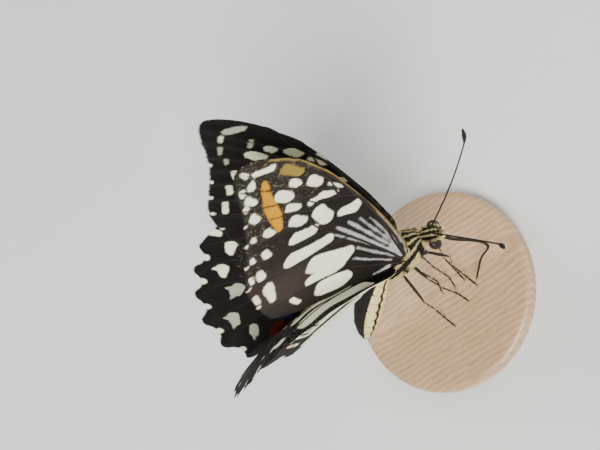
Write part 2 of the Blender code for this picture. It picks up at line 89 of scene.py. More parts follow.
def new_object(name, data):
    made = bpy.data.objects.new(name, data)
    bpy.context.scene.collection.objects.link(made)
    return made


back = (CAMERA_PLACE - CAMERA_AIM).normalized()
across = CAMERA_UP.cross(back).normalized()
camera = new_object("camera", bpy.data.cameras.new("camera"))
camera.data.lens = LENS
camera.data.sensor_width = SENSOR
camera.data.clip_start = 0.005
view = Matrix((across, back.cross(across), back)).transposed().to_4x4()
camera.matrix_world = Matrix.Translation(CAMERA_PLACE * MM) @ view
bpy.context.scene.camera = camera
print("camera", [round(c, 4) for c in camera.location])

# %% [markdown]
# The insect is laid out in millimetres in its own frame: X to its head, Y to its left, Z out of
# its back. One matrix pitches it head up, sets it over the base and turns millimetres into
# metres. Every piece is modelled in the insect's frame, and its mesh is moved by this matrix at
# the end, so that its object can stay at the origin. The head turns at the neck, and the feet
# stop a gap over the base, as the solids do.

# %% The insect's frame
GAP = 0.3
NOSE_UP = math.radians(10.0)
STANCE = 13.0
HEAD_TURN = math.radians(-24.0)
NECK = Vector((5.0, 0.0, 0.0))
BASE_RADIUS = 17.0
BASE_HEIGHT = 3.0
BASE_CENTRE = (-3.5, -3.0)

stand_up = (Matrix.Scale(MM, 4)
            @ Matrix.Translation((-BASE_CENTRE[0], -BASE_CENTRE[1], BASE_HEIGHT + GAP + STANCE))
            @ Matrix.Rotation(-NOSE_UP, 4, "Y"))


def floor_point(x, y, above=0.0):
    """A point of the plane of the base's top, or above it, under a place of the insect."""
    z = -(STANCE + GAP - above + x * math.sin(NOSE_UP)) / math.cos(NOSE_UP)
    return Vector((x, y, z))


def smooth_path(points, step):
    """A Catmull-Rom curve through the points, sampled about every step."""
    known = [Vector(p) for p in points]
    ends = [known[0] * 2 - known[1]] + known + [known[-1] * 2 - known[-2]]
    path = []
    for a, b, c, d in zip(ends, ends[1:], ends[2:], ends[3:]):
        count = max(1, round((c - b).length / step))
        for t in (i / count for i in range(count)):
            path.append(0.5 * (2 * b + (c - a) * t + (2 * a - 5 * b + 4 * c - d) * t ** 2
                               + (3 * b - a - 3 * c + d) * t ** 3))
    path.append(known[-1])
    return path


print("lowest point of the insect over the floor", round((stand_up @ floor_point(0, 0)).z, 5))

# %% [markdown]
# A piece is finished in the same way each time: its mesh goes into metres, it gets its material
# and its smooth shading, it rides on the one body, and the solids it replaces are hidden.

# %% Finishing a piece
def finish_piece(name, mesh, material, replaced=(), placed=False, sharp=None):
    if not placed:
        mesh.transform(stand_up)
    mesh.name = name
    piece = new_object(name, mesh)
    mesh.materials.append(material)
    mesh.shade_smooth()
    if sharp:
        mesh.set_sharp_from_angle(angle=math.radians(sharp))
    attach(piece, "root")
    if replaced:
        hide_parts(*replaced)
    print(name, "triangles", sum(len(p.vertices) - 2 for p in mesh.polygons))
    return piece


def mesh_of(bm):
    mesh = bpy.data.meshes.new("piece")
    bm.to_mesh(mesh)
    bm.free()
    return mesh


def set_field(mesh, name, values):
    """Store one number for each point of the mesh, for a material to read."""
    made = mesh.attributes.new(name, "FLOAT", "POINT")
    made.data.foreach_set("value", np.asarray(values, dtype=np.float32))


def points_of(mesh):
    flat = np.empty(len(mesh.vertices) * 3, dtype=np.float32)
    mesh.vertices.foreach_get("co", flat)
    return flat.reshape(-1, 3).astype(float)


print("each piece ends up in metres, with a unit of", MM)


# %% [markdown]
# Most of an insect's parts are tubes: its body, legs, feelers and tongue. A tube starts as one
# circle and is extruded ring by ring along a path, each ring turned to the path and scaled to
# its own width and height. Extruding keeps the rings joined, so there is no seam.

# %% Tubes along a path
def ring_frames(path, widths, talls, upright=False):
    """A matrix for each ring: across, up and along the path, scaled to the ring's sizes.

    An upright tube keeps its rings' tops up, and any other carries the turn from ring to ring.
    """
    up = Vector((0, 0, 1))
    frames = []
    for i, point in enumerate(path):
        ahead = (path[min(i + 1, len(path) - 1)] - path[max(i - 1, 0)]).normalized()
        side = up.cross(ahead).normalized()
        above = ahead.cross(side)
        turn = Matrix((side, above, ahead)).transposed().to_4x4()
        frames.append(Matrix.Translation(point) @ turn @ Matrix.Diagonal((widths[i], talls[i], 1.0, 1.0)))
        if not upright:
            up = above
    return frames


def sweep(bm, path, widths, talls=None, sides=12, upright=False):
    """Extrude a circle along the path and close both ends."""
    frames = ring_frames(path, widths, talls or widths, upright)
    ring = bmesh.ops.create_circle(bm, cap_ends=True, segments=sides, radius=1.0, matrix=frames[0])["verts"]
    rim = list(dict.fromkeys(e for v in ring for e in v.link_edges))
    for old, new in zip(frames, frames[1:]):
        made = bmesh.ops.extrude_edge_only(bm, edges=rim)["geom"]
        fresh = [g for g in made if isinstance(g, bmesh.types.BMVert)]
        bmesh.ops.transform(bm, matrix=new @ old.inverted(), verts=fresh)
        known = set(fresh)
        rim = list(dict.fromkeys(e for v in fresh for e in v.link_edges if e.other_vert(v) in known))
    bmesh.ops.contextual_create(bm, geom=rim)
    bmesh.ops.recalc_face_normals(bm, faces=bm.faces)


small_bend = smooth_path(((0, 0, 0), (1, 0, 0), (2, 0, 1)), 0.25)
thin = [0.1] * len(small_bend)
print("rings along a small bend", len(ring_frames(small_bend, thin, thin)))


# %% [markdown]
# Hair, bristles and the fringe of a wing are the same small thing many times over. A blade is
# modelled once, a three-sided cone cut across and bent, and copies of it are set on their roots
# in one joined mesh. Each copy of a coat hair has a small patch of a UV map at its root's place.

# %% One blade, many copies
BLADE_ROOT = 0.5
BLADE_TIP = 0.04
PATCH = 0.003


def blade_template(cuts, bend, flat=0.45):
    """Points and faces of a slim cone of unit length along Z, flattened along X, and its bend."""
    bm = bmesh.new()
    bmesh.ops.create_cone(bm, cap_ends=True, segments=3, radius1=BLADE_ROOT, radius2=BLADE_TIP, depth=1.0,
                          matrix=Matrix.Translation((0, 0, 0.5)))
    for i in range(cuts):
        height = (i + 1) / (cuts + 1)
        bmesh.ops.bisect_plane(bm, geom=bm.verts[:] + bm.edges[:] + bm.faces[:], dist=1e-6,
                               plane_co=(0, 0, height), plane_no=(0, 0, 1))
    for vert in bm.verts:
        vert.co.x *= flat
    bmesh.ops.triangulate(bm, faces=bm.faces)
    bmesh.ops.recalc_face_normals(bm, faces=bm.faces)
    bm.verts.ensure_lookup_table()
    shape = np.array([v.co for v in bm.verts])
    faces = np.array([[v.index for v in f.verts] for f in bm.faces])
    bm.free()
    return shape, faces, bend


def scatter(template, roots, ahead, normals, lengths, widths, patches=None):
    """Joined copies of a blade, lying along ahead and bent down to the surface they grow from."""
    shape, faces, bend = template
    count = len(roots)
    ahead = ahead / np.linalg.norm(ahead, axis=1, keepdims=True)
    side = np.cross(normals, ahead)
    side /= np.maximum(np.linalg.norm(side, axis=1, keepdims=True), 1e-9)
    lift = np.cross(ahead, side)
    along = shape[None, :, 2, None] * lengths[:, None, None] * ahead[:, None]
    across = shape[None, :, 1, None] * widths[:, None, None] * side[:, None]
    bowed = shape[None, :, 0, None] * widths[:, None, None] * lift[:, None]
    droop = -bend * shape[None, :, 2, None] ** 2 * lengths[:, None, None] * lift[:, None]
    points = (roots[:, None] + along + across + bowed + droop).reshape(-1, 3)
    # Lift, side and ahead are left-handed, so the corners of each face are taken backwards
    indices = (faces[None, :, ::-1] + (np.arange(count) * len(shape))[:, None, None]).reshape(-1, 3)
    mesh = bpy.data.meshes.new("piece")
    mesh.from_pydata(points.tolist(), [], indices.tolist())
    if patches is not None:
        local = (shape[:, [1, 2]] + (0.5, 0.0)) * PATCH
        uv = (patches[:, None] + local[None]).reshape(-1, 2)
        layer = mesh.uv_layers.new(name="OFBake")
        layer.data.foreach_set("uv", uv[indices.ravel()].astype(np.float32).ravel())
    return mesh


hair = blade_template(cuts=1, bend=0.25)
bristle = blade_template(cuts=0, bend=0.1, flat=1.0)
print("points and faces of one hair", hair[0].shape, hair[1].shape)

# %% [markdown]
# Materials are built from nodes. One helper adds a node with its settings and its inputs, which
# are either numbers or sockets of other nodes, so that each material below reads from top to
# bottom like a recipe.

# %% Node helpers
def set_inputs(tree, node, inputs):
    for name, value in inputs.items():
        if isinstance(value, bpy.types.NodeSocket):
            tree.links.new(value, node.inputs[name])
        else:
            node.inputs[name].default_value = value


def add(tree, kind, inputs=None, **settings):
    made = tree.nodes.new(kind)
    for name, value in settings.items():
        setattr(made, name, value)
    set_inputs(tree, made, inputs or {})
    return made


def colour(red, green, blue):
    return (red, green, blue, 1.0)


def blend(tree, share, first, second):
    made = add(tree, "ShaderNodeMix", {0: share, 6: first, 7: second}, data_type="RGBA")
    return made.outputs[2]


def sum_up(tree, operation, *values, clamp=False):
    made = add(tree, "ShaderNodeMath", dict(enumerate(values)), operation=operation, use_clamp=clamp)
    return made.outputs[0]


def field(tree, name):
    return add(tree, "ShaderNodeAttribute", attribute_name=name).outputs["Fac"]


def over(tree, distance, soft):
    """0 outside and 1 inside a mark, from the depth inside it, with an edge of that softness."""
    made = add(tree, "ShaderNodeMapRange", {"Value": distance, "From Min": -soft, "From Max": soft},
               interpolation_type="SMOOTHSTEP")
    return made.outputs["Result"]


def grained(tree, tone, any_scale, spread, least):
    """The tone made lighter or darker from scale to scale."""
    value = sum_up(tree, "MULTIPLY_ADD", any_scale, spread, least)
    return add(tree, "ShaderNodeHueSaturation", {"Value": value, "Color": tone}).outputs["Color"]


def relief(tree, height, strength, depth):
    made = add(tree, "ShaderNodeBump", {"Height": height, "Strength": strength, "Distance": depth})
    return made.outputs["Normal"]


def new_material(name):
    made = bpy.data.materials.new(name)
    made.use_nodes = True
    tree = made.node_tree
    return made, tree, tree.nodes["Principled BSDF"]


def new_group(name, inputs, outputs):
    """A node group; inputs are name: default, and outputs name: socket type."""
    tree = bpy.data.node_groups.new(name, "ShaderNodeTree")
    for label, value in inputs.items():
        kind = "NodeSocketFloat" if isinstance(value, float) else "NodeSocketVector"
        made = tree.interface.new_socket(name=label, in_out="INPUT", socket_type=kind)
        if isinstance(value, float):
            made.default_value = value
    for label, kind in outputs.items():
        tree.interface.new_socket(name=label, in_out="OUTPUT", socket_type=kind)
    return tree, add(tree, "NodeGroupInput"), add(tree, "NodeGroupOutput")


def use_group(tree, group, inputs):
    return add(tree, "ShaderNodeGroup", inputs, node_tree=group)


print("a colour as the nodes take it", colour(0.5, 0.25, 0.125))


# %% [markdown]
# A butterfly's colours are thousands of overlapping scales, each about a tenth of a millimetre
# and of one colour. The effect is a cell pattern: each cell gives a random number that roughens
# the edges of marks and varies the tone, and a height that tilts each scale like a roof tile.
# Wings and body share it, so it is a node group, and the number of scales per millimetre is one
# of its inputs.

# %% Scale pattern
WING_SCALES_PER_MM = 9.0
BODY_SCALES_PER_MM = 7.0
SCALE_DEPTH = 0.03 * MM
scale_tree, scale_in, scale_out = new_group(
    "scales", {"Place": Vector((0, 0, 0)), "Per mm": WING_SCALES_PER_MM},
    {"Random": "NodeSocketFloat", "Height": "NodeSocketFloat", "Patch": "NodeSocketFloat"})
cells = add(scale_tree, "ShaderNodeTexVoronoi", {"Vector": scale_in.outputs["Place"],
                                                  "Scale": scale_in.outputs["Per mm"], "Randomness": 0.75})
tone = add(scale_tree, "ShaderNodeSeparateColor", {"Color": cells.outputs["Color"]})
patch = add(scale_tree, "ShaderNodeTexNoise",
            {"Vector": scale_in.outputs["Place"], "Scale": 0.35, "Detail": 3.0})
scale_tree.links.new(tone.outputs[0], scale_out.inputs["Random"])
scale_tree.links.new(sum_up(scale_tree, "SUBTRACT", tone.outputs[1], cells.outputs["Distance"]),
                     scale_out.inputs["Height"])
scale_tree.links.new(patch.outputs["Fac"], scale_out.inputs["Patch"])
print("scale group nodes", len(scale_tree.nodes))

# %% [markdown]
# The wings. Their outlines and veins are drawn flat, outwards and forwards of the hinge, with
# the values of the solids. A forewing has a smooth margin. A hindwing has a tooth where each
# vein ends and a rounded notch between each two.

# %% Outlines and veins
FORE_EDGE = ((0.0, 0.7), (3.4, 4.1), (7.6, 6.9), (13.6, 10.5), (18.6, 13.2), (24.1, 16.0), (30.1, 18.8),
             (36.1, 20.6), (40.5, 20.9), (43.2, 20.6), (44.5, 19.7), (44.3, 18.4), (43.0, 16.4),
             (40.9, 13.8), (38.8, 10.8), (37.0, 7.6), (35.2, 4.0), (32.9, 0.0), (30.6, -2.4), (28.0, -4.5),
             (25.7, -6.2), (23.2, -6.9), (20.4, -6.8), (15.5, -5.6), (8.3, -2.8), (3.3, -1.0), (0.0, -0.6))
FORE_VEINS = {
    "subcosta": ((0, 0.4), (9.5, 7.4), (19, 12.9), (27, 17.1)),
    "radius_stem": ((0, 0.2), (7, 5.1), (14, 10.1), (20.3, 13.9), (24.5, 14.2), (27.8, 13.4)),
    "radius_1": ((18.0, 12.7), (24.5, 15.9), (30.0, 18.3)),
    "radius_2": ((24.5, 14.2), (28.4, 17.2), (31.4, 18.2), (35.2, 20.1)),
    "radius_3": ((31.4, 18.2), (35.0, 17.8), (39.0, 18.0), (43.6, 18.9)),
    "radius_5": ((24.5, 14.2), (27.0, 15.8), (29.8, 15.7), (33.0, 16.1), (37.0, 16.3), (42.4, 16.4)),
    "media_1": ((27.8, 13.4), (30.6, 14.1), (34.5, 14.05), (40.4, 13.7)),
    "media_2": ((28.3, 12.4), (31.5, 12.35), (35.5, 11.8), (38.4, 10.7)),
    "media_3": ((27.4, 10.4), (30.2, 9.6), (34.0, 8.6), (37.0, 8.0)),
    "cross": ((27.8, 13.4), (28.3, 12.4), (27.4, 10.4), (23.8, 8.6)),
    "cubitus_stem": ((0, 0), (9, 3.7), (17.8, 6.9), (23.8, 8.6)),
    "cubitus_1": ((23.8, 8.6), (27.6, 6.6), (31.8, 4.9), (35.0, 4.2)),
    "cubitus_2": ((17.8, 6.9), (21.5, 5.2), (26.2, 2.6), (32.3, 0.4)),
    "anal": ((0, -0.2), (8, 0.1), (13.3, 0.35), (18.6, -1.45), (26.3, -5.5)),
}
HIND_TEETH = {
    "radius": (28.6, -5.2), "media_1": (29.0, -10.8), "media_2": (28.3, -16.6), "media_3": (26.4, -22.8),
    "cubitus_1": (22.4, -27.9), "cubitus_2": (17.0, -30.4), "anal": (11.0, -30.2),
}
HIND_COSTA = ((0.0, 0.8), (3.0, 4.0), (8.0, 6.6), (14.0, 7.2), (20.0, 5.2), (25.6, 0.4))
HIND_INNER = ((9.2, -26.5), (6.6, -20.0), (3.9, -13.0), (1.4, -6.0), (0.0, -0.8))
HIND_VEINS = {
    "subcosta": ((0, 0.3), (7, 2.0), (14, 2.6), (22.8, 2.4)),
    "radius_stem": ((0, 0), (6, -0.8), (13.2, -3.4)),
    "radius": ((13.2, -3.4), (18, -2.0), (23, -2.4), (27.8, -5.0)),
    "media_1": ((15.2, -5.4), (19.5, -6.0), (24.1, -7.4), (28.2, -10.5)),
    "media_2": ((15.8, -8.4), (20, -10.6), (24.2, -12.7), (27.5, -16.2)),
    "media_3": ((15.0, -11.6), (18.3, -14.6), (21.6, -18.0), (25.7, -22.3)),
    "cross": ((13.2, -3.4), (15.2, -5.4), (15.8, -8.4), (15.0, -11.6), (12.8, -12.6)),
    "cubitus_stem": ((0, -0.4), (4.2, -4.2), (9.0, -9.6), (12.8, -12.6)),
    "cubitus_1": ((12.8, -12.6), (16.4, -17.4), (19.4, -21.8), (21.9, -27.2)),
    "cubitus_2": ((9.0, -9.6), (12.8, -17.5), (15.7, -23.5), (16.7, -29.6)),
    "anal": ((0.2, -0.4), (2.8, -6.5), (5.6, -13.5), (8.6, -21.5), (11.2, -29.4)),
}
NOTCH_DEPTH = 1.3
# Share of the way from tooth to tooth, and share of the notch's depth
NOTCH_SHAPE = ((0.13, 0.06), (0.30, 0.72), (0.5, 1.0), (0.70, 0.72), (0.87, 0.06))
EDGE_STEP = 0.4


def flat_path(points, step):
    return [p.to_2d() for p in smooth_path([Vector((*p, 0)) for p in points], step)]


def hind_edge():
    """Front margin, then teeth with rounded notches between them, then inner margin."""
    teeth = [Vector(p) for p in HIND_TEETH.values()]
    margin = flat_path(HIND_COSTA, EDGE_STEP)
    scallop = []
    for a, b in zip(teeth, teeth[1:]):
        out = Vector((b - a).orthogonal()).normalized()
        out *= -1 if out.dot(a) < 0 else 1
        scallop.append(a)
        for share, depth in NOTCH_SHAPE:
            scallop.append(a.lerp(b, share) - out * NOTCH_DEPTH * depth)
    scallop.append(teeth[-1])
    return margin + flat_path(scallop, EDGE_STEP) + flat_path(HIND_INNER, EDGE_STEP)


EDGES = {"fore": flat_path(FORE_EDGE, EDGE_STEP), "hind": hind_edge()}
VEINS = {"fore": FORE_VEINS, "hind": HIND_VEINS}
print("margin points", {kind: len(edge) for kind, edge in EDGES.items()})

# %% [markdown]
# Each wing is bent a little, turned at its hinge and, for the right side, mirrored. Its angles
# in degrees are its sweep forwards, how far it is raised and how far it leans, and its bend is
# a camber and a twist. A hindwing's front is folded down a little, and its root is tucked in
# beside the body. One function places membranes, veins and fringe, so they can't drift apart.

# %% From the flat drawing to the raised wing
HINGES = {"fore": (1.65, 2.3, 1.2), "hind": (-1.3, 2.0, 1.3)}
WING_ANGLES = {
    ("fore", "left"): (1.9, 85.2, -6.7), ("fore", "right"): (-0.6, 79.0, -12.2),
    ("hind", "left"): (23.5, 60.2, 4.4), ("hind", "right"): (30.0, 59.7, 8.2),
}
WING_BEND = {
    ("fore", "left"): (0.1, 0.07), ("fore", "right"): (0.85, 0.08),
    ("hind", "left"): (0.55, 0.01), ("hind", "right"): (3.2, 0.14),
}
WING_SPAN = {"fore": 46.0, "hind": 30.0}
TUCK = 1.7
TUCK_SHARE = {"left": 0.12, "right": 0.2}
FRONT_FOLD = 0.25


def wing_place(kind, side, flat, lift):
    """Points of the insect's frame for flat wing points (out, forward) and their heights."""
    sweep_angle, raised, lean = (math.radians(a) for a in WING_ANGLES[kind, side])
    camber, twist = WING_BEND[kind, side]
    u, v = flat[:, 0], flat[:, 1]
    share = np.clip(u / WING_SPAN[kind], 0.0, 1.0)
    bow = camber * np.sin(np.pi * share) + twist * v * share
    if kind == "hind":
        bow = bow - FRONT_FOLD * np.maximum(v, 0.0)
    turn = (Matrix.Rotation(raised, 3, "X") @ Matrix.Rotation(lean, 3, "Y")
            @ Matrix.Rotation(sweep_angle, 3, "Z"))
    points = np.stack([v, u, bow + lift], axis=1) @ np.array(turn).T + np.array(HINGES[kind])
    if kind == "hind":
        y = points[:, 1]
        points[:, 1] = np.where(y < TUCK, TUCK - (TUCK - y) * TUCK_SHARE[side], y)
    if side == "right":
        points[:, 1] *= -1
    return points


tip = wing_place("fore", "right", np.array([(44.4, 19.5)]), np.zeros(1))[0]
print("wing tip", (stand_up @ Vector(tip)).to_tuple(4))

# %% [markdown]
# The marks are drawn with round brush strokes: each runs from one point to another and has a
# radius at each end, in millimetres. A field holds, for each point of the wing, how deep it is
# inside the nearest stroke, so that the material can cut a clean edge at zero at any zoom.
# Where a mark has no stroke at all, its field is far below zero.
# Upperside and underside share the main spots and differ in the rest, as on the real insect.

# %% Marks of the forewing
OUTSIDE = -9.0
FORE_SPOTS = (
    (20.4, 12.6, 1.00, 22.5, 11.9, 0.85), (25.0, 11.0, 1.10, 27.1, 12.2, 1.05),
    (29.4, 10.9, 0.90, 31.0, 11.2, 0.85), (26.3, 9.0, 0.95, 28.9, 8.1, 1.10),
    (22.2, 6.9, 1.05, 27.2, 4.3, 1.45), (17.0, 3.3, 2.05, 21.7, 2.6, 1.75),
    (17.2, 1.5, 1.90, 20.9, -0.5, 0.95), (13.5, -1.7, 1.65, 16.7, -2.5, 1.80),
    (30.1, 16.9, 0.70, 31.5, 17.3, 0.82), (34.2, 15.0, 0.82, 35.8, 15.4, 0.92),
    (33.7, 16.9, 0.52, 34.7, 17.2, 0.62), (39.7, 19.7, 0.55, 41.3, 18.9, 0.60),
    (31.5, 13.3, 0.52, 33.1, 13.4, 0.62),
)
FORE_UPPER_SPOTS = (
    (40.9, 16.9, 0.28, 41.4, 17.9, 0.34), (39.5, 14.4, 0.25, 40.2, 15.6, 0.32),
    (37.5, 12.4, 0.25, 38.3, 13.6, 0.32), (36.9, 16.9, 0.30, 37.5, 18.0, 0.36),
    (25.2, 15.7, 0.28, 28.0, 16.5, 0.42), (25.3, 16.8, 0.12, 27.9, 17.7, 0.16),
    (34.6, 9.8, 0.45, 35.7, 11.2, 0.48), (33.2, 5.9, 0.42, 34.4, 7.6, 0.45),
    (31.3, 1.3, 0.42, 32.6, 3.5, 0.42), (20.9, -4.5, 0.35, 22.3, -3.9, 0.35),
    (26.6, 15.0, 0.20, 28.8, 14.4, 0.40),
)
FORE_UNDER_SPOTS = (
    (25.6, 15.0, 0.30, 28.2, 14.8, 0.52), (28.2, 14.8, 0.52, 29.4, 13.8, 0.60),
    (25.0, 15.9, 0.14, 28.0, 16.5, 0.22), (41.0, 16.9, 0.50, 41.4, 17.5, 0.52),
    (39.7, 15.0, 0.45, 40.9, 15.4, 0.42), (37.8, 12.2, 0.58, 38.7, 12.7, 0.58),
    (34.1, 9.7, 0.62, 35.2, 10.2, 0.62), (32.8, 6.1, 0.62, 33.7, 6.8, 0.60),
    (31.7, 2.2, 0.62, 32.6, 3.1, 0.60), (26.9, -2.7, 0.55, 29.3, 0.0, 0.86),
    (20.9, -4.5, 0.46, 22.4, -3.9, 0.46),
    (42.6, 18.6, 0.38, 43.5, 19.0, 0.34), (41.9, 16.1, 0.34, 42.3, 16.6, 0.34),
    (40.1, 13.8, 0.32, 40.7, 14.4, 0.32), (36.4, 8.8, 0.38, 37.0, 9.4, 0.36),
    (34.8, 5.3, 0.38, 35.4, 6.0, 0.34), (33.1, 1.8, 0.36, 33.8, 2.6, 0.32),
    (29.6, -2.6, 0.34, 31.0, -1.3, 0.40),
)
# Pale streaks that fan out from the hinge through the cell
STREAKS = (
    (5.0, 4.2, 0.20, 16.0, 10.2, 0.10), (5.5, 4.0, 0.16, 18.2, 10.3, 0.15),
    (5.0, 3.3, 0.20, 20.2, 9.9, 0.24), (4.0, 2.2, 0.22, 21.8, 9.1, 0.28),
    (9.0, 3.9, 0.12, 21.0, 7.6, 0.12), (4.0, 1.5, 0.16, 14.8, 4.6, 0.17),
    (4.5, 0.9, 0.16, 14.0, 2.5, 0.15), (3.6, -0.6, 0.30, 6.8, -1.6, 0.20),
    (2.2, 1.5, 0.40, 6.2, 3.9, 0.62),
)
OCHRE = ((34.4, 18.6, 0.62, 37.4, 19.4, 0.72),)
ORANGE = ((39.4, 17.5, 0.40, 37.9, 15.4, 0.70), (37.9, 15.4, 0.70, 35.9, 13.4, 0.98),
          (35.9, 13.4, 0.98, 34.2, 11.7, 0.85), (34.2, 11.7, 0.85, 33.0, 10.2, 0.40))
# Cream spots of the upperside greyed green: painted shade
FORE_PAINTED_SHADE = ((39.4, 19.8, 1.2, 41.4, 19.0, 1.1), (41.0, 16.2, 0.9, 37.5, 12.5, 0.9),
             (36.8, 17.4, 0.8, 37.6, 17.9, 0.8))


def nearest_on(points, a, b):
    """For each point the nearest place between a and b: its share of the way, it and how far off."""
    start, run = np.array(a), np.array(b) - np.array(a)
    share = np.clip((points - start) @ run / max(run @ run, 1e-9), 0.0, 1.0)
    spots = start + share[:, None] * run
    return share, spots, np.linalg.norm(points - spots, axis=1)


def strokes(flat, table):
    """Depth inside the nearest brush stroke, in millimetres, negative outside."""
    depth = np.full(len(flat), OUTSIDE)
    for u1, v1, r1, u2, v2, r2 in table:
        share, _, apart = nearest_on(flat, (u1, v1), (u2, v2))
        depth = np.maximum(depth, r1 + (r2 - r1) * share - apart)
    return depth


def path_distance(flat, paths):
    """Distance to the nearest of several flat paths."""
    best = np.full(len(flat), 99.0)
    for path in paths:
        for a, b in zip(path, path[1:]):
            best = np.minimum(best, nearest_on(flat, a, b)[2])
    return best


print("forewing strokes", len(FORE_SPOTS) + len(FORE_UPPER_SPOTS) + len(FORE_UNDER_SPOTS) + len(STREAKS))

# %% [markdown]
# The hindwing's upperside is black outside a wide cream band, with a row of crescents, a brick
# red patch and a blue crescent at the inner corner. Its underside is cream at the base, with
# black veins, and between each two veins it repeats one figure on its way to the margin: black,
# a blue crescent, an ochre spot, black again and a large cream crescent. A loop draws that.

# %% Marks of the hindwing
HIND_BAND = (
    (8.0, 3.6, 2.2, 17.2, 2.8, 1.9), (9.0, -1.4, 2.3, 16.8, -2.0, 1.6), (8.0, -3.8, 2.0, 14.0, -6.6, 1.6),
    (16.0, -6.0, 1.0, 17.0, -6.4, 0.7), (16.6, -9.2, 0.7, 17.4, -9.8, 0.5),
    (6.5, -6.2, 1.9, 12.2, -11.4, 1.3),
    (9.6, -11.0, 1.2, 12.4, -16.0, 0.8), (5.0, -8.8, 1.6, 9.2, -17.0, 1.1), (3.2, -7.5, 1.1, 6.6, -18.0, 0.8),
)
HIND_CRESCENTS = (
    (23.7, -3.9, 0.95, 23.8, -5.4, 0.70), (24.5, -9.4, 1.10, 24.3, -10.8, 0.55),
    (24.9, -9.4, 0.80, 26.0, -9.8, 0.22), (21.4, -12.8, 1.05, 21.8, -14.2, 1.00),
    (22.0, -13.4, 0.85, 23.5, -13.6, 0.15), (21.8, -14.2, 0.85, 22.4, -16.0, 0.12),
    (21.5, -20.0, 1.05, 21.0, -21.2, 0.85), (21.9, -20.3, 0.75, 22.9, -20.8, 0.18),
    (21.0, -21.2, 0.65, 21.1, -22.8, 0.12), (17.7, -21.6, 0.75, 17.4, -23.3, 0.80),
    (17.4, -23.3, 0.62, 17.2, -24.8, 0.12), (21.6, 0.9, 0.75, 22.8, -0.8, 0.70),
)
HIND_RED = ((13.0, -20.2, 1.35, 13.2, -22.8, 1.60), (13.2, -22.8, 1.5, 13.4, -25.2, 0.55))
HIND_BLUE = ((11.4, -17.6, 0.40, 13.6, -18.2, 0.50), (19.6, 2.0, 0.35, 20.4, -0.6, 0.45))
# Crescents of the upperside greyed green: painted shade
HIND_PAINTED_SHADE = ((21.6, -12.5, 1.9, 21.6, -15.0, 1.8), (21.3, -19.8, 1.9, 21.2, -22.0, 1.6),
             (17.6, -21.5, 1.4, 17.3, -24.0, 1.2))
# Middle line of each space between veins, from the cell to the margin, and its half width
HIND_SPACES = (
    ((13.0, 5.0), (24.2, 3.0), 1.3), ((14.5, 0.0), (27.0, -2.3), 2.2),
    ((16.0, -4.2), (28.2, -7.9), 1.9), ((16.6, -7.4), (27.9, -13.4), 1.9),
    ((16.2, -10.8), (26.5, -19.4), 2.0), ((14.4, -13.2), (23.9, -25.1), 1.9),
    ((11.4, -12.5), (19.6, -28.4), 1.7), ((6.6, -10.5), (13.8, -29.2), 1.5),
)


def across_space(space, share, half, radius):
    """A stroke across a space between veins at a share of the way to the margin."""
    a, b, width = Vector(space[0]), Vector(space[1]), space[2]
    middle = a.lerp(b, share)
    side = (b - a).orthogonal().normalized() * width * half
    return (*(middle - side), radius, *(middle + side), radius)


def under_figures():
    """Strokes of the figure that each space repeats, smaller and plainer at the inner edge."""
    cream, blue, ochre, black = [], [], [], []
    for number, space in enumerate(HIND_SPACES):
        inner = number > 5
        grown = 0.8 if inner or number == 0 else 1.0
        black.append(across_space(space, 0.36, 0.30, 0.45 if inner else 1.25 * grown))
        black.append(across_space(space, 0.52, 0.34, 0.45 if inner else 0.95 * grown))
        if not inner:
            blue.append(across_space(space, 0.37, 0.30, 0.34 * grown))
            ochre.append(across_space(space, 0.53, 0.22, 0.42 * grown))
        black.append(across_space(space, 0.90, 0.60, 0.95 * grown))
        cream.append(across_space(space, 0.74, 0.40, 0.85 * grown))
    return cream, blue, ochre, black


UNDER_CREAM, UNDER_BLUE, UNDER_OCHRE, UNDER_BLACK = under_figures()
print("hindwing strokes above", len(HIND_BAND) + len(HIND_CRESCENTS), "and below",
      len(UNDER_CREAM) + len(UNDER_BLUE) + len(UNDER_OCHRE) + len(UNDER_BLACK))

# %% [markdown]
# One function gives all fields of one face of a wing: how deep each point lies in cream, ochre,
# olive, red or blue and in the dark line of a vein, where cream turns lilac or is greyed as painted
# shade, how brown the dark ground is, and what share of its scales is pale dust. Fringe blades at
# the margin ask the same function for their colour.

# %% Fields of a wing's face
FIELDS = ("cream", "ochre", "red", "blue", "line", "brown", "painted_shade", "lilac", "olive", "dust")
VEIN_PATHS = {kind: [flat_path(route, 1.0) for route in VEINS[kind].values()] for kind in VEINS}
FORE_FRONT = flat_path(FORE_EDGE[:9], 1.0)
INNER_EDGE = flat_path(HIND_INNER, 1.0)
INNER_HEM = 0.7
MARGIN_ENDS = {
    "fore": ((40.4, 13.2), (38.2, 9.8), (36.3, 6.4), (34.2, 2.5), (31.3, -1.6), (26.8, -5.4)),
    "hind": ((25.9, 1.0), *HIND_TEETH.values()),
}
# How far in the cream of a gap begins, as a share of its distance, and its radius there and outside
GAP_CREAM = {"fore": (1.0, 0.32, 0.32), "hind": (0.953, 0.60, 0.85)}
# Half width of the dark line along a vein
VEIN_LINE = {
    ("fore", "upper"): 0.10, ("fore", "under"): 0.11,
    ("hind", "upper"): 0.20, ("hind", "under"): 0.46,
}


def gaps_of_margin(kind):
    """Cream fringe strokes halfway between each two vein ends on the outer margin."""
    ends = [Vector(p) for p in MARGIN_ENDS[kind]]
    share, inner, outer = GAP_CREAM[kind]
    middles = [(a + b) / 2 for a, b in zip(ends, ends[1:])]
    return [(*(m * share), inner, *m, outer) for m in middles]


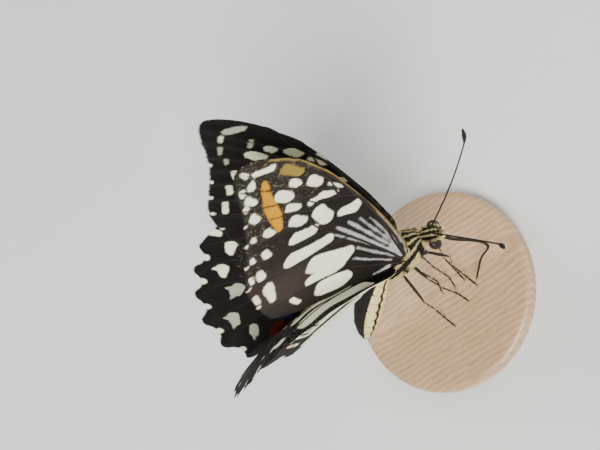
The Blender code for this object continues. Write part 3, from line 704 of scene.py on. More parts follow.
def wing_fields(kind, face, flat):
    """All mark fields of the flat points, for the upper or the under face."""
    count = len(flat)
    values = {name: np.full(count, OUTSIDE) for name in FIELDS}
    veins = path_distance(flat, VEIN_PATHS[kind])
    values["line"] = VEIN_LINE[kind, face] - veins
    fringe = strokes(flat, gaps_of_margin(kind))
    reach = np.linalg.norm(flat, axis=1)
    if kind == "fore" and face == "upper":
        cream = np.maximum(strokes(flat, FORE_SPOTS), strokes(flat, FORE_UPPER_SPOTS))
        rows = np.sin(reach * 2.1 + 0.9 * np.sin(flat[:, 1] * 1.3))
        near_root = np.clip(1.25 - reach / 16.0, 0.0, 1.0)
        values["dust"] = 0.45 * near_root * np.clip(0.55 + 0.6 * rows, 0.0, 1.0)
        values["painted_shade"] = strokes(flat, FORE_PAINTED_SHADE)
        values["brown"] = np.full(count, 0.05)
    elif kind == "fore":
        cream = np.maximum(strokes(flat, FORE_SPOTS), strokes(flat, FORE_UNDER_SPOTS))
        front = path_distance(flat, [FORE_FRONT])
        front_streak = np.where(reach < 19.0, 0.11 - np.abs(front - 0.34), OUTSIDE)
        streaks = np.maximum(strokes(flat, STREAKS), front_streak)
        values["lilac"] = np.where(streaks > cream, 1.0, OUTSIDE)
        cream = np.maximum(cream, streaks)
        values["ochre"] = strokes(flat, ORANGE) - 0.02
        values["olive"] = np.maximum(strokes(flat, OCHRE), np.where(reach >= 3.0, 0.18 - front, OUTSIDE))
        tornus = np.exp(-((flat[:, 0] - 26.0) / 7.0) ** 2 - ((flat[:, 1] + 1.0) / 5.5) ** 2)
        values["brown"] = 0.12 + 0.80 * tornus + 0.25 * np.clip((reach - 30.0) / 8.0, 0.0, 1.0)
        # Cream near the hinge is greyed as painted shade
        values["painted_shade"] = np.where(reach < 3.6, 3.6 - reach, OUTSIDE)
        values["dust"] = 0.07 * np.clip((reach - 31.0) / 8.0, 0.0, 1.0)
    elif face == "upper":
        cream = np.maximum(strokes(flat, HIND_BAND), strokes(flat, HIND_CRESCENTS))
        values["red"] = strokes(flat, HIND_RED)
        values["blue"] = strokes(flat, HIND_BLUE)
        values["dust"] = 0.08 * np.clip(1.4 - np.abs(reach - 19.0) / 4.0, 0.0, 1.0)
        values["painted_shade"] = strokes(flat, HIND_PAINTED_SHADE)
        values["brown"] = np.full(count, 0.05)
    else:
        inside = np.clip((-flat[:, 1] - 1.6 * flat[:, 0] + 4.0) / 6.0, 0.0, 1.0)
        ground = 18.5 + 6.5 * inside - reach + 2.0 * np.sin(flat[:, 1] * 0.6)
        cream = np.maximum(np.minimum(ground, 1.5), strokes(flat, UNDER_CREAM))
        cream = np.minimum(cream, -strokes(flat, UNDER_BLACK))
        cream = np.maximum(cream, strokes(flat, UNDER_CREAM))
        values["blue"] = strokes(flat, UNDER_BLUE)
        values["ochre"] = strokes(flat, UNDER_OCHRE)
        values["red"] = strokes(flat, [HIND_RED[0]]) - 0.6
        spaces = [[Vector(a).lerp(Vector(b), 0.1), Vector(b)] for a, b, _ in HIND_SPACES]
        middle_line = np.where(cream > 0.0, 0.20 - path_distance(flat, spaces), OUTSIDE)
        values["line"] = np.maximum(values["line"], middle_line)
        values["brown"] = np.full(count, 0.10)
        # All cream of this face is greyed a little as painted shade
        values["painted_shade"] = np.full(count, -0.15)
    if kind == "hind":
        cream = np.maximum(cream, INNER_HEM - path_distance(flat, [INNER_EDGE]))
    values["cream"] = np.maximum(cream, fringe)
    values["line"] = np.where(fringe > -0.3, -1.0, values["line"])
    return values


sample = wing_fields("fore", "under", np.array([(19.0, 3.0), (30.0, 5.0)]))
print("in a spot and between spots", sample["cream"].round(2))

# %% [markdown]
# A membrane starts as its flat outline, one face. Cutting it with planes a third of a
# millimetre apart, first one way and then the other, gives a fine grid that still ends exactly
# at the outline. Solidify gives it two faces and a rim, and then each point is lifted to its
# place: the sheet rises to each vein and dips beside it, and a faint ripple breaks the sheen.

# %% Membranes
GRID = 0.30
SHEET = 0.16
VEIN_RISE = 0.20
VEIN_DIP = 0.10
RIPPLE = 0.06


def cut_grid(bm, lo, hi, axis):
    normal = (1, 0, 0) if axis == 0 else (0, 1, 0)
    for place in np.arange(lo + GRID, hi, GRID):
        spot = (place, 0, 0) if axis == 0 else (0, place, 0)
        bmesh.ops.bisect_plane(bm, geom=bm.verts[:] + bm.edges[:] + bm.faces[:], dist=1e-5,
                               plane_co=spot, plane_no=normal)


def flat_membrane(kind):
    """The flat two-faced sheet of a wing: points and polygons."""
    edge = EDGES[kind]
    bm = bmesh.new()
    bm.faces.new([bm.verts.new((*p, 0.0)) for p in edge])
    bmesh.ops.remove_doubles(bm, verts=bm.verts, dist=0.02)
    cut_grid(bm, min(p.x for p in edge), max(p.x for p in edge), 0)
    cut_grid(bm, min(p.y for p in edge), max(p.y for p in edge), 1)
    bmesh.ops.remove_doubles(bm, verts=bm.verts, dist=0.05)
    bmesh.ops.triangulate(bm, faces=[f for f in bm.faces if len(f.verts) > 4])
    bmesh.ops.recalc_face_normals(bm, faces=bm.faces)
    if sum(f.normal.z for f in bm.faces) < 0:
        bmesh.ops.reverse_faces(bm, faces=bm.faces)
    bmesh.ops.solidify(bm, geom=bm.faces[:], thickness=SHEET)
    mesh = mesh_of(bm)
    points = points_of(mesh)
    points[:, 2] -= (points[:, 2].min() + points[:, 2].max()) / 2
    print(kind, "membrane points", len(points))
    return mesh, points


def sheet_lift(kind, flat):
    """Height of the sheet's middle over the smooth wing: pleats and a faint ripple."""
    near = path_distance(flat, VEIN_PATHS[kind])
    pleat = VEIN_RISE * np.exp(-(near / 0.8) ** 2) - VEIN_DIP * np.exp(-((near - 1.6) / 0.7) ** 2)
    ripple = RIPPLE * np.sin(flat[:, 0] * 0.9 + 1.7 * np.sin(flat[:, 1] * 0.45))
    return pleat + ripple * np.clip(near / 1.2, 0.0, 1.0)


MEMBRANES = {kind: flat_membrane(kind) for kind in EDGES}

# %% [markdown]
# The wing's finish reads the fields. Each scale of the pattern shifts the edge of a mark by up
# to its own size, so marks end in whole scales. Cream lies over the dark ground, then olive,
# ochre, red, blue and the dark vein lines. A mark has two tones, and each of its scales lies
# somewhere between them. Cream scales are matt, and dark ones a little smoother.

# %% Wing scales
GROUND = (colour(0.006, 0.005, 0.005), colour(0.044, 0.031, 0.025))
WARM_GROUND = colour(0.050, 0.032, 0.022)
DUST = colour(0.34, 0.33, 0.18)
CREAM = (colour(0.95, 0.92, 0.70), colour(0.84, 0.81, 0.56))
# Grey-green of cream that lies in painted shade
PAINTED_SHADE_CREAM = colour(0.36, 0.37, 0.27)
LILAC = colour(0.41, 0.385, 0.36)
# For each later mark: its two tones, the softness of its edge in millimetres, and how dense it is
MARK_TONES = {
    "olive": (colour(0.40, 0.27, 0.055), colour(0.20, 0.13, 0.030), 0.15, 0.90),
    "ochre": (colour(0.72, 0.335, 0.006), colour(0.46, 0.19, 0.010), 0.18, 0.94),
    "red": (colour(0.15, 0.014, 0.003), colour(0.06, 0.006, 0.002), 0.25, 1.0),
    "blue": (colour(0.012, 0.014, 0.065), colour(0.012, 0.014, 0.065), 0.20, 1.0),
    "line": (colour(0.010, 0.008, 0.007), colour(0.010, 0.008, 0.007), 0.05, 0.88),
}


def wing_material():
    made, tree, shader = new_material("wing scales")
    place = add(tree, "ShaderNodeUVMap", uv_map="flat").outputs["UV"]
    scales = use_group(tree, scale_tree, {"Place": place, "Per mm": WING_SCALES_PER_MM})
    any_scale, patch_of_wing = scales.outputs["Random"], scales.outputs["Patch"]
    jitter = sum_up(tree, "MULTIPLY_ADD", any_scale, 0.22, -0.11)
    jitter = sum_up(tree, "ADD", jitter, sum_up(tree, "MULTIPLY_ADD", patch_of_wing, 0.40, -0.20))

    def mark(name, soft):
        return over(tree, sum_up(tree, "ADD", field(tree, name), jitter), soft)

    ground = blend(tree, field(tree, "brown"), *GROUND)
    warm = sum_up(tree, "MULTIPLY_ADD", patch_of_wing, 0.9, -0.25, clamp=True)
    ground = blend(tree, sum_up(tree, "MULTIPLY", warm, 0.22), ground, WARM_GROUND)
    specks = sum_up(tree, "LESS_THAN", any_scale, field(tree, "dust"))
    ground = blend(tree, sum_up(tree, "MULTIPLY", specks, 0.7), ground, DUST)
    pale = blend(tree, any_scale, *CREAM)
    # Cream is greyed as painted shade where its field asks
    pale = blend(tree, mark("painted_shade", 0.5), pale, PAINTED_SHADE_CREAM)
    pale = blend(tree, mark("lilac", 0.05), pale, LILAC)
    tone = blend(tree, mark("cream", 0.12), ground, pale)
    for name, (one, other, soft, dense) in MARK_TONES.items():
        mixed = blend(tree, any_scale, one, other)
        tone = blend(tree, sum_up(tree, "MULTIPLY", mark(name, soft), dense), tone, mixed)
    set_inputs(tree, shader, {
        "Base Color": grained(tree, tone, any_scale, 0.28, 0.84),
        "Roughness": sum_up(tree, "MULTIPLY_ADD", mark("cream", 0.1), 0.22, 0.58),
        "Normal": relief(tree, scales.outputs["Height"], 0.35, SCALE_DEPTH),
        "Specular IOR Level": 0.06})
    return made


wing_finish = wing_material()
print("wing finish nodes", len(wing_finish.node_tree.nodes))

# %% [markdown]
# The veins are hollow ribs that carry the membrane. They stand out on both faces, so each is a
# slim tapering tube along its path, sunk half way into the sheet. All ribs of a wing are one
# mesh. Their dark horny finish is one function, because skin, hair, feelers, tongue and legs
# need it too, each with its own tones.

# %% Rib finish
def dark_horn(name, base, tint, rough, pale=None):
    """Dark insect skin: a mottled tone, fine ridges, and pale scales where the field asks."""
    made, tree, shader = new_material(name)
    place = add(tree, "ShaderNodeTexCoord").outputs["Object"]
    mapped = add(tree, "ShaderNodeMapping", {"Vector": place, "Scale": (1 / MM, 1 / MM, 1 / MM)})
    scales = use_group(tree, scale_tree, {"Place": mapped.outputs["Vector"], "Per mm": BODY_SCALES_PER_MM})
    tone = blend(tree, scales.outputs["Patch"], base, tint)
    if pale:
        jitter = sum_up(tree, "MULTIPLY_ADD", scales.outputs["Random"], 0.14, -0.07)
        depth = sum_up(tree, "ADD", field(tree, "cream"), jitter)
        tone = blend(tree, over(tree, depth, 0.06), tone, pale)
    set_inputs(tree, shader, {
        "Base Color": grained(tree, tone, scales.outputs["Random"], 0.4, 0.8),
        "Roughness": sum_up(tree, "MULTIPLY_ADD", scales.outputs["Patch"], 0.2, rough),
        "Normal": relief(tree, scales.outputs["Height"], 0.4, SCALE_DEPTH),
        "Specular IOR Level": 0.2})
    return made


CREAM_TONE = colour(0.74, 0.62, 0.28)
rib_finish = dark_horn("rib", colour(0.006, 0.005, 0.004), colour(0.024, 0.016, 0.011), 0.5)
print("rib finish nodes", len(rib_finish.node_tree.nodes))

# %% [markdown]
# A fringe of hair scales edges each wing, dark at the vein ends and cream between them. The
# margin is walked in small steps, and at each step one blade points outwards with a little
# random turn, seeded so that every run gives the same wing. The front margin and the root have
# none.

# %% Build the four wings
RIB_RADIUS = 0.24
RIB_TAPER = 0.15
FRINGE_STEP = 0.065
FRINGE_LENGTH = 0.38


def rib_mesh(kind, side):
    bm = bmesh.new()
    for route in VEINS[kind].values():
        flat = np.array([tuple(p) for p in flat_path(route, 0.8)])
        placed = wing_place(kind, side, flat, sheet_lift(kind, flat))
        path = [Vector(p) for p in placed]
        shares = np.linalg.norm(flat, axis=1) / WING_SPAN[kind]
        sizes = [RIB_RADIUS - RIB_TAPER * min(s, 1.0) for s in shares]
        sizes[-1] *= 0.4
        sweep(bm, path, sizes, sides=6)
    return mesh_of(bm)


def fringe_mesh(kind, side):
    """Blades round the outer and inner margin, with the depth in cream at their roots."""
    edge = EDGES[kind]
    closed = np.array([tuple(p) for p in edge + edge[:1]])
    length = np.concatenate([[0.0], np.cumsum(np.linalg.norm(np.diff(closed, axis=0), axis=1))])
    marks = np.arange(0.0, length[-1], FRINGE_STEP)
    flat = np.stack([np.interp(marks, length, closed[:, k]) for k in (0, 1)], axis=1)
    ahead = np.roll(flat, -2, axis=0) - np.roll(flat, 2, axis=0)
    out = np.stack([ahead[:, 1], -ahead[:, 0]], axis=1)
    out /= np.maximum(np.linalg.norm(out, axis=1, keepdims=True), 1e-9)
    area = np.sum(closed[:-1, 0] * closed[1:, 1] - closed[1:, 0] * closed[:-1, 1])
    out *= 1.0 if area > 0 else -1.0
    front = (flat[:, 1] > flat[:, 0] * 0.42 + 1.6) if kind == "fore" else (flat[:, 1] > 0.6)
    keep = ~front & (np.linalg.norm(flat, axis=1) > 4.0)
    flat, out = flat[keep], out[keep]
    count = len(flat)
    turn = random.normal(0.0, 0.16, count)
    out = np.stack([out[:, 0] - turn * out[:, 1], out[:, 1] + turn * out[:, 0]], axis=1)
    lift = random.uniform(-0.04, 0.04, count) + sheet_lift(kind, flat)
    roots = wing_place(kind, side, flat - out * 0.12, lift)
    ends = wing_place(kind, side, flat + out * 0.5, lift + random.normal(0, 0.05, count))
    above = wing_place(kind, side, flat, np.full(count, 1.0))
    normals = above - wing_place(kind, side, flat, np.zeros(count))
    lengths = FRINGE_LENGTH * random.uniform(0.75, 1.2, count)
    widths = random.uniform(0.08, 0.13, count)
    patches = flat / 60.0 + (0.1, 0.6)
    mesh = scatter(bristle, roots, ends - roots, normals, lengths, widths, patches)
    cream = wing_fields(kind, "upper", flat - out * 0.15)["cream"]
    set_field(mesh, "cream", np.repeat(cream, len(bristle[0])))
    return mesh


def build_wing(kind, side):
    name = f"{kind}wing_{side}"
    source, points = MEMBRANES[kind]
    mesh = source.copy()
    flat = points[:, :2]
    placed = wing_place(kind, side, flat, sheet_lift(kind, flat) + points[:, 2])
    mesh.vertices.foreach_set("co", placed.astype(np.float32).ravel())
    upper, under = (wing_fields(kind, face, flat) for face in ("upper", "under"))
    for label in FIELDS:
        set_field(mesh, label, np.where(points[:, 2] > 0, upper[label], under[label]))
    corners = np.empty(len(mesh.loops), dtype=np.int32)
    mesh.loops.foreach_get("vertex_index", corners)
    layer = mesh.uv_layers.new(name="flat")
    layer.data.foreach_set("uv", flat[corners].astype(np.float32).ravel())
    # Setting the wing up swaps its two axes, which turns its faces in, and the right side's mirror
    # image turns them out again
    if side == "left":
        mesh.flip_normals()
    finish_piece(name + "_membrane", mesh, wing_finish, [name])
    finish_piece(name + "_ribs", rib_mesh(kind, side), rib_finish)
    finish_piece(name + "_fringe", fringe_mesh(kind, side), fringe_finish)


FRINGE_CREAM = colour(0.80, 0.76, 0.50)
fringe_finish = dark_horn("fringe", colour(0.007, 0.006, 0.006), colour(0.020, 0.015, 0.011), 0.6,
                          FRINGE_CREAM)
for wing_kind in ("fore", "hind"):
    for wing_side in ("left", "right"):
        build_wing(wing_kind, wing_side)

# %% [markdown]
# The body under its coat is one skin from the tip of the abdomen to the face, so that no seam
# shows where head, thorax and abdomen meet. It is one tube along a bent midline. The abdomen's
# segments are shallow steps in its width, and the neck and waist are narrow places. A station
# of head or thorax gives the place along, to the side and up, then half its width and its
# height above and below that place. One of the abdomen gives the share of its length, half its
# width and half its height.

# %% Midline and sizes of the body
COAT = 0.28
HEAD_STATIONS = (
    (5.72, -0.28, -0.05, 1.10, 1.00, 1.00), (6.30, -0.58, 0.00, 1.55, 1.30, 1.30),
    (7.05, -0.98, 0.05, 1.70, 1.45, 1.55), (7.85, -1.34, 0.05, 1.60, 1.45, 1.65),
    (8.50, -1.62, -0.05, 1.20, 1.15, 1.45), (8.95, -1.78, -0.15, 0.50, 0.55, 0.80),
)
THORAX_STATIONS = (
    (5.40, -0.10, -0.05, 1.00, 1.00, 1.00), (4.80, 0.00, 0.00, 1.75, 1.65, 1.60),
    (4.10, 0.00, 0.00, 2.15, 2.10, 2.20), (2.80, 0.00, 0.05, 2.85, 2.80, 2.85),
    (1.00, 0.00, 0.05, 3.15, 3.10, 3.10), (-1.00, 0.00, 0.00, 3.15, 2.95, 3.15),
    (-2.80, 0.00, -0.10, 2.85, 2.45, 2.95), (-4.00, 0.00, -0.25, 2.20, 1.90, 2.20),
    (-4.55, -0.05, -0.35, 1.60, 1.45, 1.55),
)
ABDOMEN_STATIONS = (
    (0.00, 1.60, 1.50), (0.10, 2.05, 2.00), (0.30, 2.60, 2.60), (0.55, 2.75, 2.75),
    (0.75, 2.40, 2.40), (0.90, 1.65, 1.65), (0.97, 0.95, 1.00), (1.00, 0.40, 0.45),
)
ABDOMEN_START = Vector((-4.9, -0.08, -0.45))
ABDOMEN_LENGTH = 16.0
ABDOMEN_SEGMENTS = 8
SEGMENTED_SHARE = 0.95
SEGMENT_STEP = 0.13
ABDOMEN_YAW = (math.radians(8.0), math.radians(26.0))
ABDOMEN_DROP = (math.radians(14.0), math.radians(28.0))


def abdomen_midline(count):
    """Points from waist to tip along the abdomen's bend."""
    point = ABDOMEN_START.copy()
    path = [point.copy()]
    for i in range(count):
        t = i / count
        yaw = ABDOMEN_YAW[0] + (ABDOMEN_YAW[1] - ABDOMEN_YAW[0]) * t
        drop = ABDOMEN_DROP[0] + (ABDOMEN_DROP[1] - ABDOMEN_DROP[0]) * t
        point += Vector((-math.cos(drop) * math.cos(yaw), -math.cos(drop) * math.sin(yaw),
                         -math.sin(drop))) * ABDOMEN_LENGTH / count
        path.append(point.copy())
    return path


def body_midline():
    """Midline points from tip to face, each with half width, half height and station number.

    The station runs from 0 at the abdomen's tip to 1 at the waist, 2 at the neck and 3 at the face.
    """
    rows = []
    path = abdomen_midline(88)
    shares, widths, talls = (np.array(column) for column in zip(*ABDOMEN_STATIONS))
    for i in range(len(path) - 1, -1, -1):
        t = i / (len(path) - 1)
        step = (t * ABDOMEN_SEGMENTS / SEGMENTED_SHARE) % 1.0
        inset = SEGMENT_STEP * max(0.0, 1.0 - step / 0.16) if t > 0.05 else 0.0
        inset += 0.05 * (step - 0.5)
        width, tall = np.interp(t, shares, widths), np.interp(t, shares, talls)
        rows.append((path[i], width - inset, tall - inset, 1 - t))
    chain = list(reversed(THORAX_STATIONS)) + list(HEAD_STATIONS)
    order = np.array([s[0] for s in chain])
    centres = smooth_path([(s[0], s[1], s[2] + (s[4] - s[5]) / 2) for s in chain], 0.22)
    for centre in centres:
        width = np.interp(centre.x, order, [s[3] for s in chain])
        tall = np.interp(centre.x, order, [(s[4] + s[5]) / 2 for s in chain])
        station = np.interp(centre.x, (-4.55, 5.55, 8.95), (1.0, 2.0, 3.0))
        rows.append((centre, width, tall, station))
    return rows


BODY = body_midline()
BODY_CENTRES = np.array([row[0] for row in BODY])
BODY_STATIONS = np.array([row[3] for row in BODY])
BODY_SIZES = np.array([row[1] for row in BODY])
BODY_AHEAD = np.gradient(BODY_CENTRES, axis=0)
BODY_AHEAD /= np.linalg.norm(BODY_AHEAD, axis=1, keepdims=True)
print("body rings", len(BODY))

# %% [markdown]
# The markings of skin and coat come from one function, so a hair is always the colour of the
# skin under it. It asks where a point lies along the body and how far round from the back.
# Dark and cream bands then follow one another round the body, and each stretch of the body has
# its own list of angles where they change. Fine dark lines part the abdomen's segments, the
# bands of its flank waver, and slanting marks cross the sides of the thorax.

# %% Markings of the body
ABDOMEN_BANDS = (45.0, 84.0, 98.0, 150.0, 156.0)
THORAX_BANDS = (14.0, 24.0, 49.0, 58.0, 80.0)
HEAD_BANDS = (14.0, 22.0, 47.0, 57.0, 70.0)
FLANK_WAVE = 3.0
HEAD_BEADS = 0.09
POINTS_AT_ONCE = 4000


def body_place(points):
    """Station along the body and angle from the back, in degrees, negative on the right."""
    nearest = np.empty(len(points), dtype=int)
    for start in range(0, len(points), POINTS_AT_ONCE):
        apart = np.linalg.norm(points[start:start + POINTS_AT_ONCE, None] - BODY_CENTRES[None], axis=2)
        nearest[start:start + POINTS_AT_ONCE] = apart.argmin(axis=1)
    ahead = BODY_AHEAD[nearest]
    side = np.cross(np.array((0, 0, 1.0)), ahead)
    side /= np.linalg.norm(side, axis=1, keepdims=True)
    above = np.cross(ahead, side)
    offset = points - BODY_CENTRES[nearest]
    angle = np.degrees(np.arctan2((offset * side).sum(axis=1), (offset * above).sum(axis=1)))
    return BODY_STATIONS[nearest], angle, BODY_SIZES[nearest]


def banded(angle, changes, size):
    """Depth in millimetres inside a cream band, where the first band from the back is dark."""
    round_angle = np.abs(angle)
    gaps = np.stack([np.abs(round_angle - change) for change in changes])
    depth = gaps.min(axis=0) * math.pi / 180.0 * size
    pale = sum((round_angle > change).astype(int) for change in changes) % 2 == 1
    return np.where(pale, depth, -depth)


def body_marks(points):
    """Depth in millimetres inside the cream of skin and coat, negative in the dark."""
    station, angle, size = body_place(points)
    from_back = np.abs(angle)
    wave = FLANK_WAVE * np.sin(station * 2 * math.pi * ABDOMEN_SEGMENTS)
    abdomen = banded(angle + np.sign(angle) * wave * (from_back > 80), ABDOMEN_BANDS, size)
    joint = (station * ABDOMEN_SEGMENTS / SEGMENTED_SHARE) % 1.0
    lined = np.minimum(abdomen, 2.0 * np.abs(joint - 0.5) - 0.06)
    abdomen = np.where((from_back > 44) & (from_back < 92), lined, abdomen)
    slant = np.sin((station - 1.0) * 15.0 + from_back * 0.045)
    thorax = np.where(from_back > 78, 0.55 * slant + 0.28, banded(angle, THORAX_BANDS, size))
    head = banded(angle, HEAD_BANDS, size)
    head = np.where(from_back < 50, head + HEAD_BEADS * np.sin(station * 42.0), head)
    mix = np.clip((station - 1.0) / 0.06, 0.0, 1.0)
    value = abdomen * (1 - mix) + thorax * mix
    mix = np.clip((station - 2.0) / 0.08, 0.0, 1.0)
    return value * (1 - mix) + head * mix


samples = body_marks(np.array([(-9.0, -0.8, 1.2), (-9.0, -3.2, -1.4)]))
print("back and flank of the abdomen", samples.round(2))

# %% [markdown]
# The skin is swept along the midline a coat's depth inside the outline. Its finish is the same
# scale pattern as the wings', with the bands from the function above.

# %% The skin
SKIN_SIDES = 56
skin_finish = dark_horn("skin", colour(0.007, 0.006, 0.005), colour(0.020, 0.015, 0.012), 0.62,
                        CREAM_TONE)


def skin_sizes():
    """Half widths and half heights of the skin, a coat's depth inside the body's outline."""
    return ([max(row[1] - COAT, 0.12) for row in BODY], [max(row[2] - COAT, 0.12) for row in BODY])


def skin_mesh():
    bm = bmesh.new()
    sweep(bm, [row[0] for row in BODY], *skin_sizes(), sides=SKIN_SIDES, upright=True)
    bmesh.ops.smooth_vert(bm, verts=bm.verts, factor=0.35, use_axis_x=True, use_axis_y=True,
                          use_axis_z=True)
    return mesh_of(bm)


skin_data = skin_mesh()
set_field(skin_data, "cream", body_marks(points_of(skin_data)))
finish_piece("skin", skin_data, skin_finish, ["head", "thorax", "abdomen"])

# %% [markdown]
# The eyes are made of thousands of lenses. A ball of triangles is a good start: in a finer copy
# of it, the points of the coarser ball are the middles of six-sided fields. Pushing all other
# points in a little leaves one low dome for each lens.

# %% Eyes
EYE_RADII = (0.90, 0.95, 1.15)
# Along, to the side of and up from the neck, and how far the turned head's middle lies aside
EYE_PLACE = (2.75, 1.36, -0.05)
EYE_SHIFT = (0.0, -0.28, 0.0)
LENS_DOME = 0.028
turn_head = Matrix.Rotation(HEAD_TURN, 3, "Z")


def eye_centre(out):
    along, spread, up = EYE_PLACE
    return NECK + turn_head @ Vector((along, out * spread, up)) + Vector(EYE_SHIFT)


def eye_mesh(out):
    bm = bmesh.new()
    bmesh.ops.create_icosphere(bm, subdivisions=4, radius=1.0)
    middles = set(bm.verts)
    bmesh.ops.subdivide_edges(bm, edges=bm.edges[:], cuts=1, use_grid_fill=True)
    for vert in bm.verts:
        vert.co = vert.co.normalized() * (1.0 if vert in middles else 1.0 - LENS_DOME)
    place = Matrix.Translation(eye_centre(out)) @ Matrix.Rotation(HEAD_TURN, 4, "Z")
    bmesh.ops.transform(bm, matrix=place @ Matrix.Diagonal((*EYE_RADII, 1.0)), verts=bm.verts)
    return mesh_of(bm)


def eye_material():
    made, tree, shader = new_material("eye")
    place = add(tree, "ShaderNodeTexCoord").outputs["Object"]
    cloud = add(tree, "ShaderNodeTexNoise", {"Vector": place, "Scale": 900.0, "Detail": 2.0})
    # The eye turns a lighter purple where its surface turns from the camera: a painted sheen
    painted_sheen = add(tree, "ShaderNodeLayerWeight", {"Blend": 0.35}).outputs["Facing"]
    tone = blend(tree, cloud.outputs["Fac"], colour(0.010, 0.005, 0.006), colour(0.032, 0.015, 0.016))
    tone = blend(tree, sum_up(tree, "MULTIPLY", painted_sheen, 0.25), tone, colour(0.045, 0.026, 0.030))
    rough = sum_up(tree, "MULTIPLY_ADD", cloud.outputs["Fac"], 0.12, 0.30)
    set_inputs(tree, shader, {"Base Color": tone, "Roughness": rough, "Specular IOR Level": 0.16,
                              "Coat Weight": 0.06, "Coat Roughness": 0.2})
    return made


SIDES = {"left": 1, "right": -1}
eye_finish = eye_material()
for side, out in SIDES.items():
    finish_piece(f"eye_{side}_lenses", eye_mesh(out), eye_finish, [f"eye_{side}"])

# %% [markdown]
# The coat is thin hair that lies back along the body: longer on the thorax, short and flat on
# the abdomen, fine on the face. Roots are spread over the skin by area, and hairs that
# would grow into an eye are left out. Over each eye stands a brow of longer hair. The coat's
# map lays the skin flat, with the station one way and the angle from the back the other.

# %% The coat
def skin_grid():
    """The skin's points ring by ring, each end closed by a ring that has shrunk to a point."""
    path = [row[0] for row in BODY]
    frames = ring_frames(path, *skin_sizes(), upright=True)
    turns = np.linspace(0.0, 2 * math.pi, SKIN_SIDES, endpoint=False)
    circle = np.stack([np.cos(turns), np.sin(turns), 0 * turns, 0 * turns + 1.0])
    rings = [(np.array(frame) @ circle)[:3].T for frame in frames]
    ends = [np.repeat([path[k]], SKIN_SIDES, axis=0) for k in (0, -1)]
    return np.array([ends[0]] + rings + [ends[1]])


def skin_samples(count, lowest, highest):
    """Random places on the skin between two stations, with their normals."""
    grid = skin_grid()
    beside = np.roll(grid, -1, axis=1)
    fields = np.stack([grid[:-1], beside[:-1], beside[1:], grid[1:]], axis=2).reshape(-1, 4, 3)
    station, _, _ = body_place(fields.mean(axis=1))
    fields = fields[(station >= lowest) & (station < highest)]
    normals = np.cross(fields[:, 2] - fields[:, 0], fields[:, 3] - fields[:, 1])
    area = np.linalg.norm(normals, axis=1)
    normals /= area[:, None]
    chosen = random.choice(len(fields), count, p=area / area.sum())
    a, b = random.random((2, count, 1))
    corners = fields[chosen]
    lower = (1 - a) * corners[:, 0] + a * corners[:, 1]
    upper = (1 - a) * corners[:, 3] + a * corners[:, 2]
    return (1 - b) * lower + b * upper, normals[chosen]


def skin_map(station, angle):
    """Place of a root on the skin laid flat, from 0 to 1 both ways."""
    return np.stack([station / 3.1, (angle + 180.0) / 365.0], axis=1)


def coat_mesh(count, lowest, highest, length, width, stand_out, brow):
    roots, normals = skin_samples(count, lowest, highest)
    for out in SIDES.values():
        centre = np.array(eye_centre(out))
        apart = np.linalg.norm((roots - centre) / (np.array(EYE_RADII) + 0.05), axis=1)
        roots, normals = roots[apart > 1.0], normals[apart > 1.0]
    station, angle, _ = body_place(roots)
    nearest = np.abs(BODY_STATIONS[None] - station[:, None]).argmin(axis=1)
    back = -BODY_AHEAD[nearest]
    back = back - (back * normals).sum(axis=1, keepdims=True) * normals
    back += random.normal(0.0, 0.16, back.shape)
    near_eye = np.clip(1.0 - np.abs(np.abs(angle) - 46.0) / 20.0, 0.0, 1.0)
    near_eye = near_eye * (station > 2.35) * (station < 2.9)
    rise = stand_out * random.uniform(0.6, 1.4, len(roots)) + brow * near_eye
    ahead = back + normals * rise[:, None]
    lengths = length * random.uniform(0.7, 1.25, len(roots)) * (1.0 + brow * near_eye)
    widths = width * random.uniform(0.8, 1.2, len(roots))
    mesh = scatter(hair, roots - normals * 0.04, ahead, normals, lengths, widths, skin_map(station, angle))
    set_field(mesh, "cream", np.repeat(body_marks(roots), len(hair[0])))
    return mesh


hair_finish = dark_horn("hair", colour(0.007, 0.006, 0.005), colour(0.022, 0.016, 0.012), 0.6, CREAM_TONE)
# Hairs, first and last station, length, width, how far they stand out, how much longer the brow is
COATS = {
    "abdomen": (9000, 0.0, 1.0, 0.42, 0.12, 0.16, 0.0),
    "thorax": (11000, 1.0, 2.0, 0.80, 0.075, 0.34, 0.0),
    "head": (9500, 2.0, 3.1, 0.42, 0.06, 0.30, 1.2),
}
for part, sizes in COATS.items():
    finish_piece("coat_" + part, coat_mesh(*sizes), hair_finish)

# %% [markdown]
# A scaly flap, the tegula, covers the root of each forewing. It is a small cushion of tawny
# hair that lies back over the hinge, paler on its outer edge.

# %% Wing roots
TEGULA_PLACE = (2.9, 1.60, 2.15)
TEGULA_RADII = (1.05, 0.75, 0.50)
TEGULA_HAIRS = 900
TEGULA_EDGE = colour(0.66, 0.52, 0.26)
tegula_finish = dark_horn("tegula", colour(0.30, 0.15, 0.04), colour(0.44, 0.27, 0.10), 0.6, TEGULA_EDGE)


def tegula_mesh(out):
    count = TEGULA_HAIRS
    normals = random.normal(0.0, 1.0, (count, 3))
    normals /= np.linalg.norm(normals, axis=1, keepdims=True)
    normals[:, 2] = np.abs(normals[:, 2])
    roots = np.array(TEGULA_PLACE) * (1, out, 1) + normals * np.array(TEGULA_RADII)
    ahead = np.array((-1.0, 0.30 * out, 0.10)) + normals * 0.35 + random.normal(0.0, 0.12, (count, 3))
    station, angle, _ = body_place(roots)
    mesh = scatter(hair, roots - normals * 0.10, ahead, normals, random.uniform(0.6, 1.0, count),
                   random.uniform(0.07, 0.11, count), skin_map(station, angle))
    set_field(mesh, "cream", np.repeat(0.30 - 0.6 * normals[:, 2], len(hair[0])))
    return mesh


for side, out in SIDES.items():
    finish_piece(f"tegula_{side}", tegula_mesh(out), tegula_finish)

# %% [markdown]
# The feelers taper from a small collar at the head into a long thin rod of short segments and
# end in a club that hooks back. Each segment is a slight swelling, drawn by the ring sizes of
# one tube, under dull black scales.

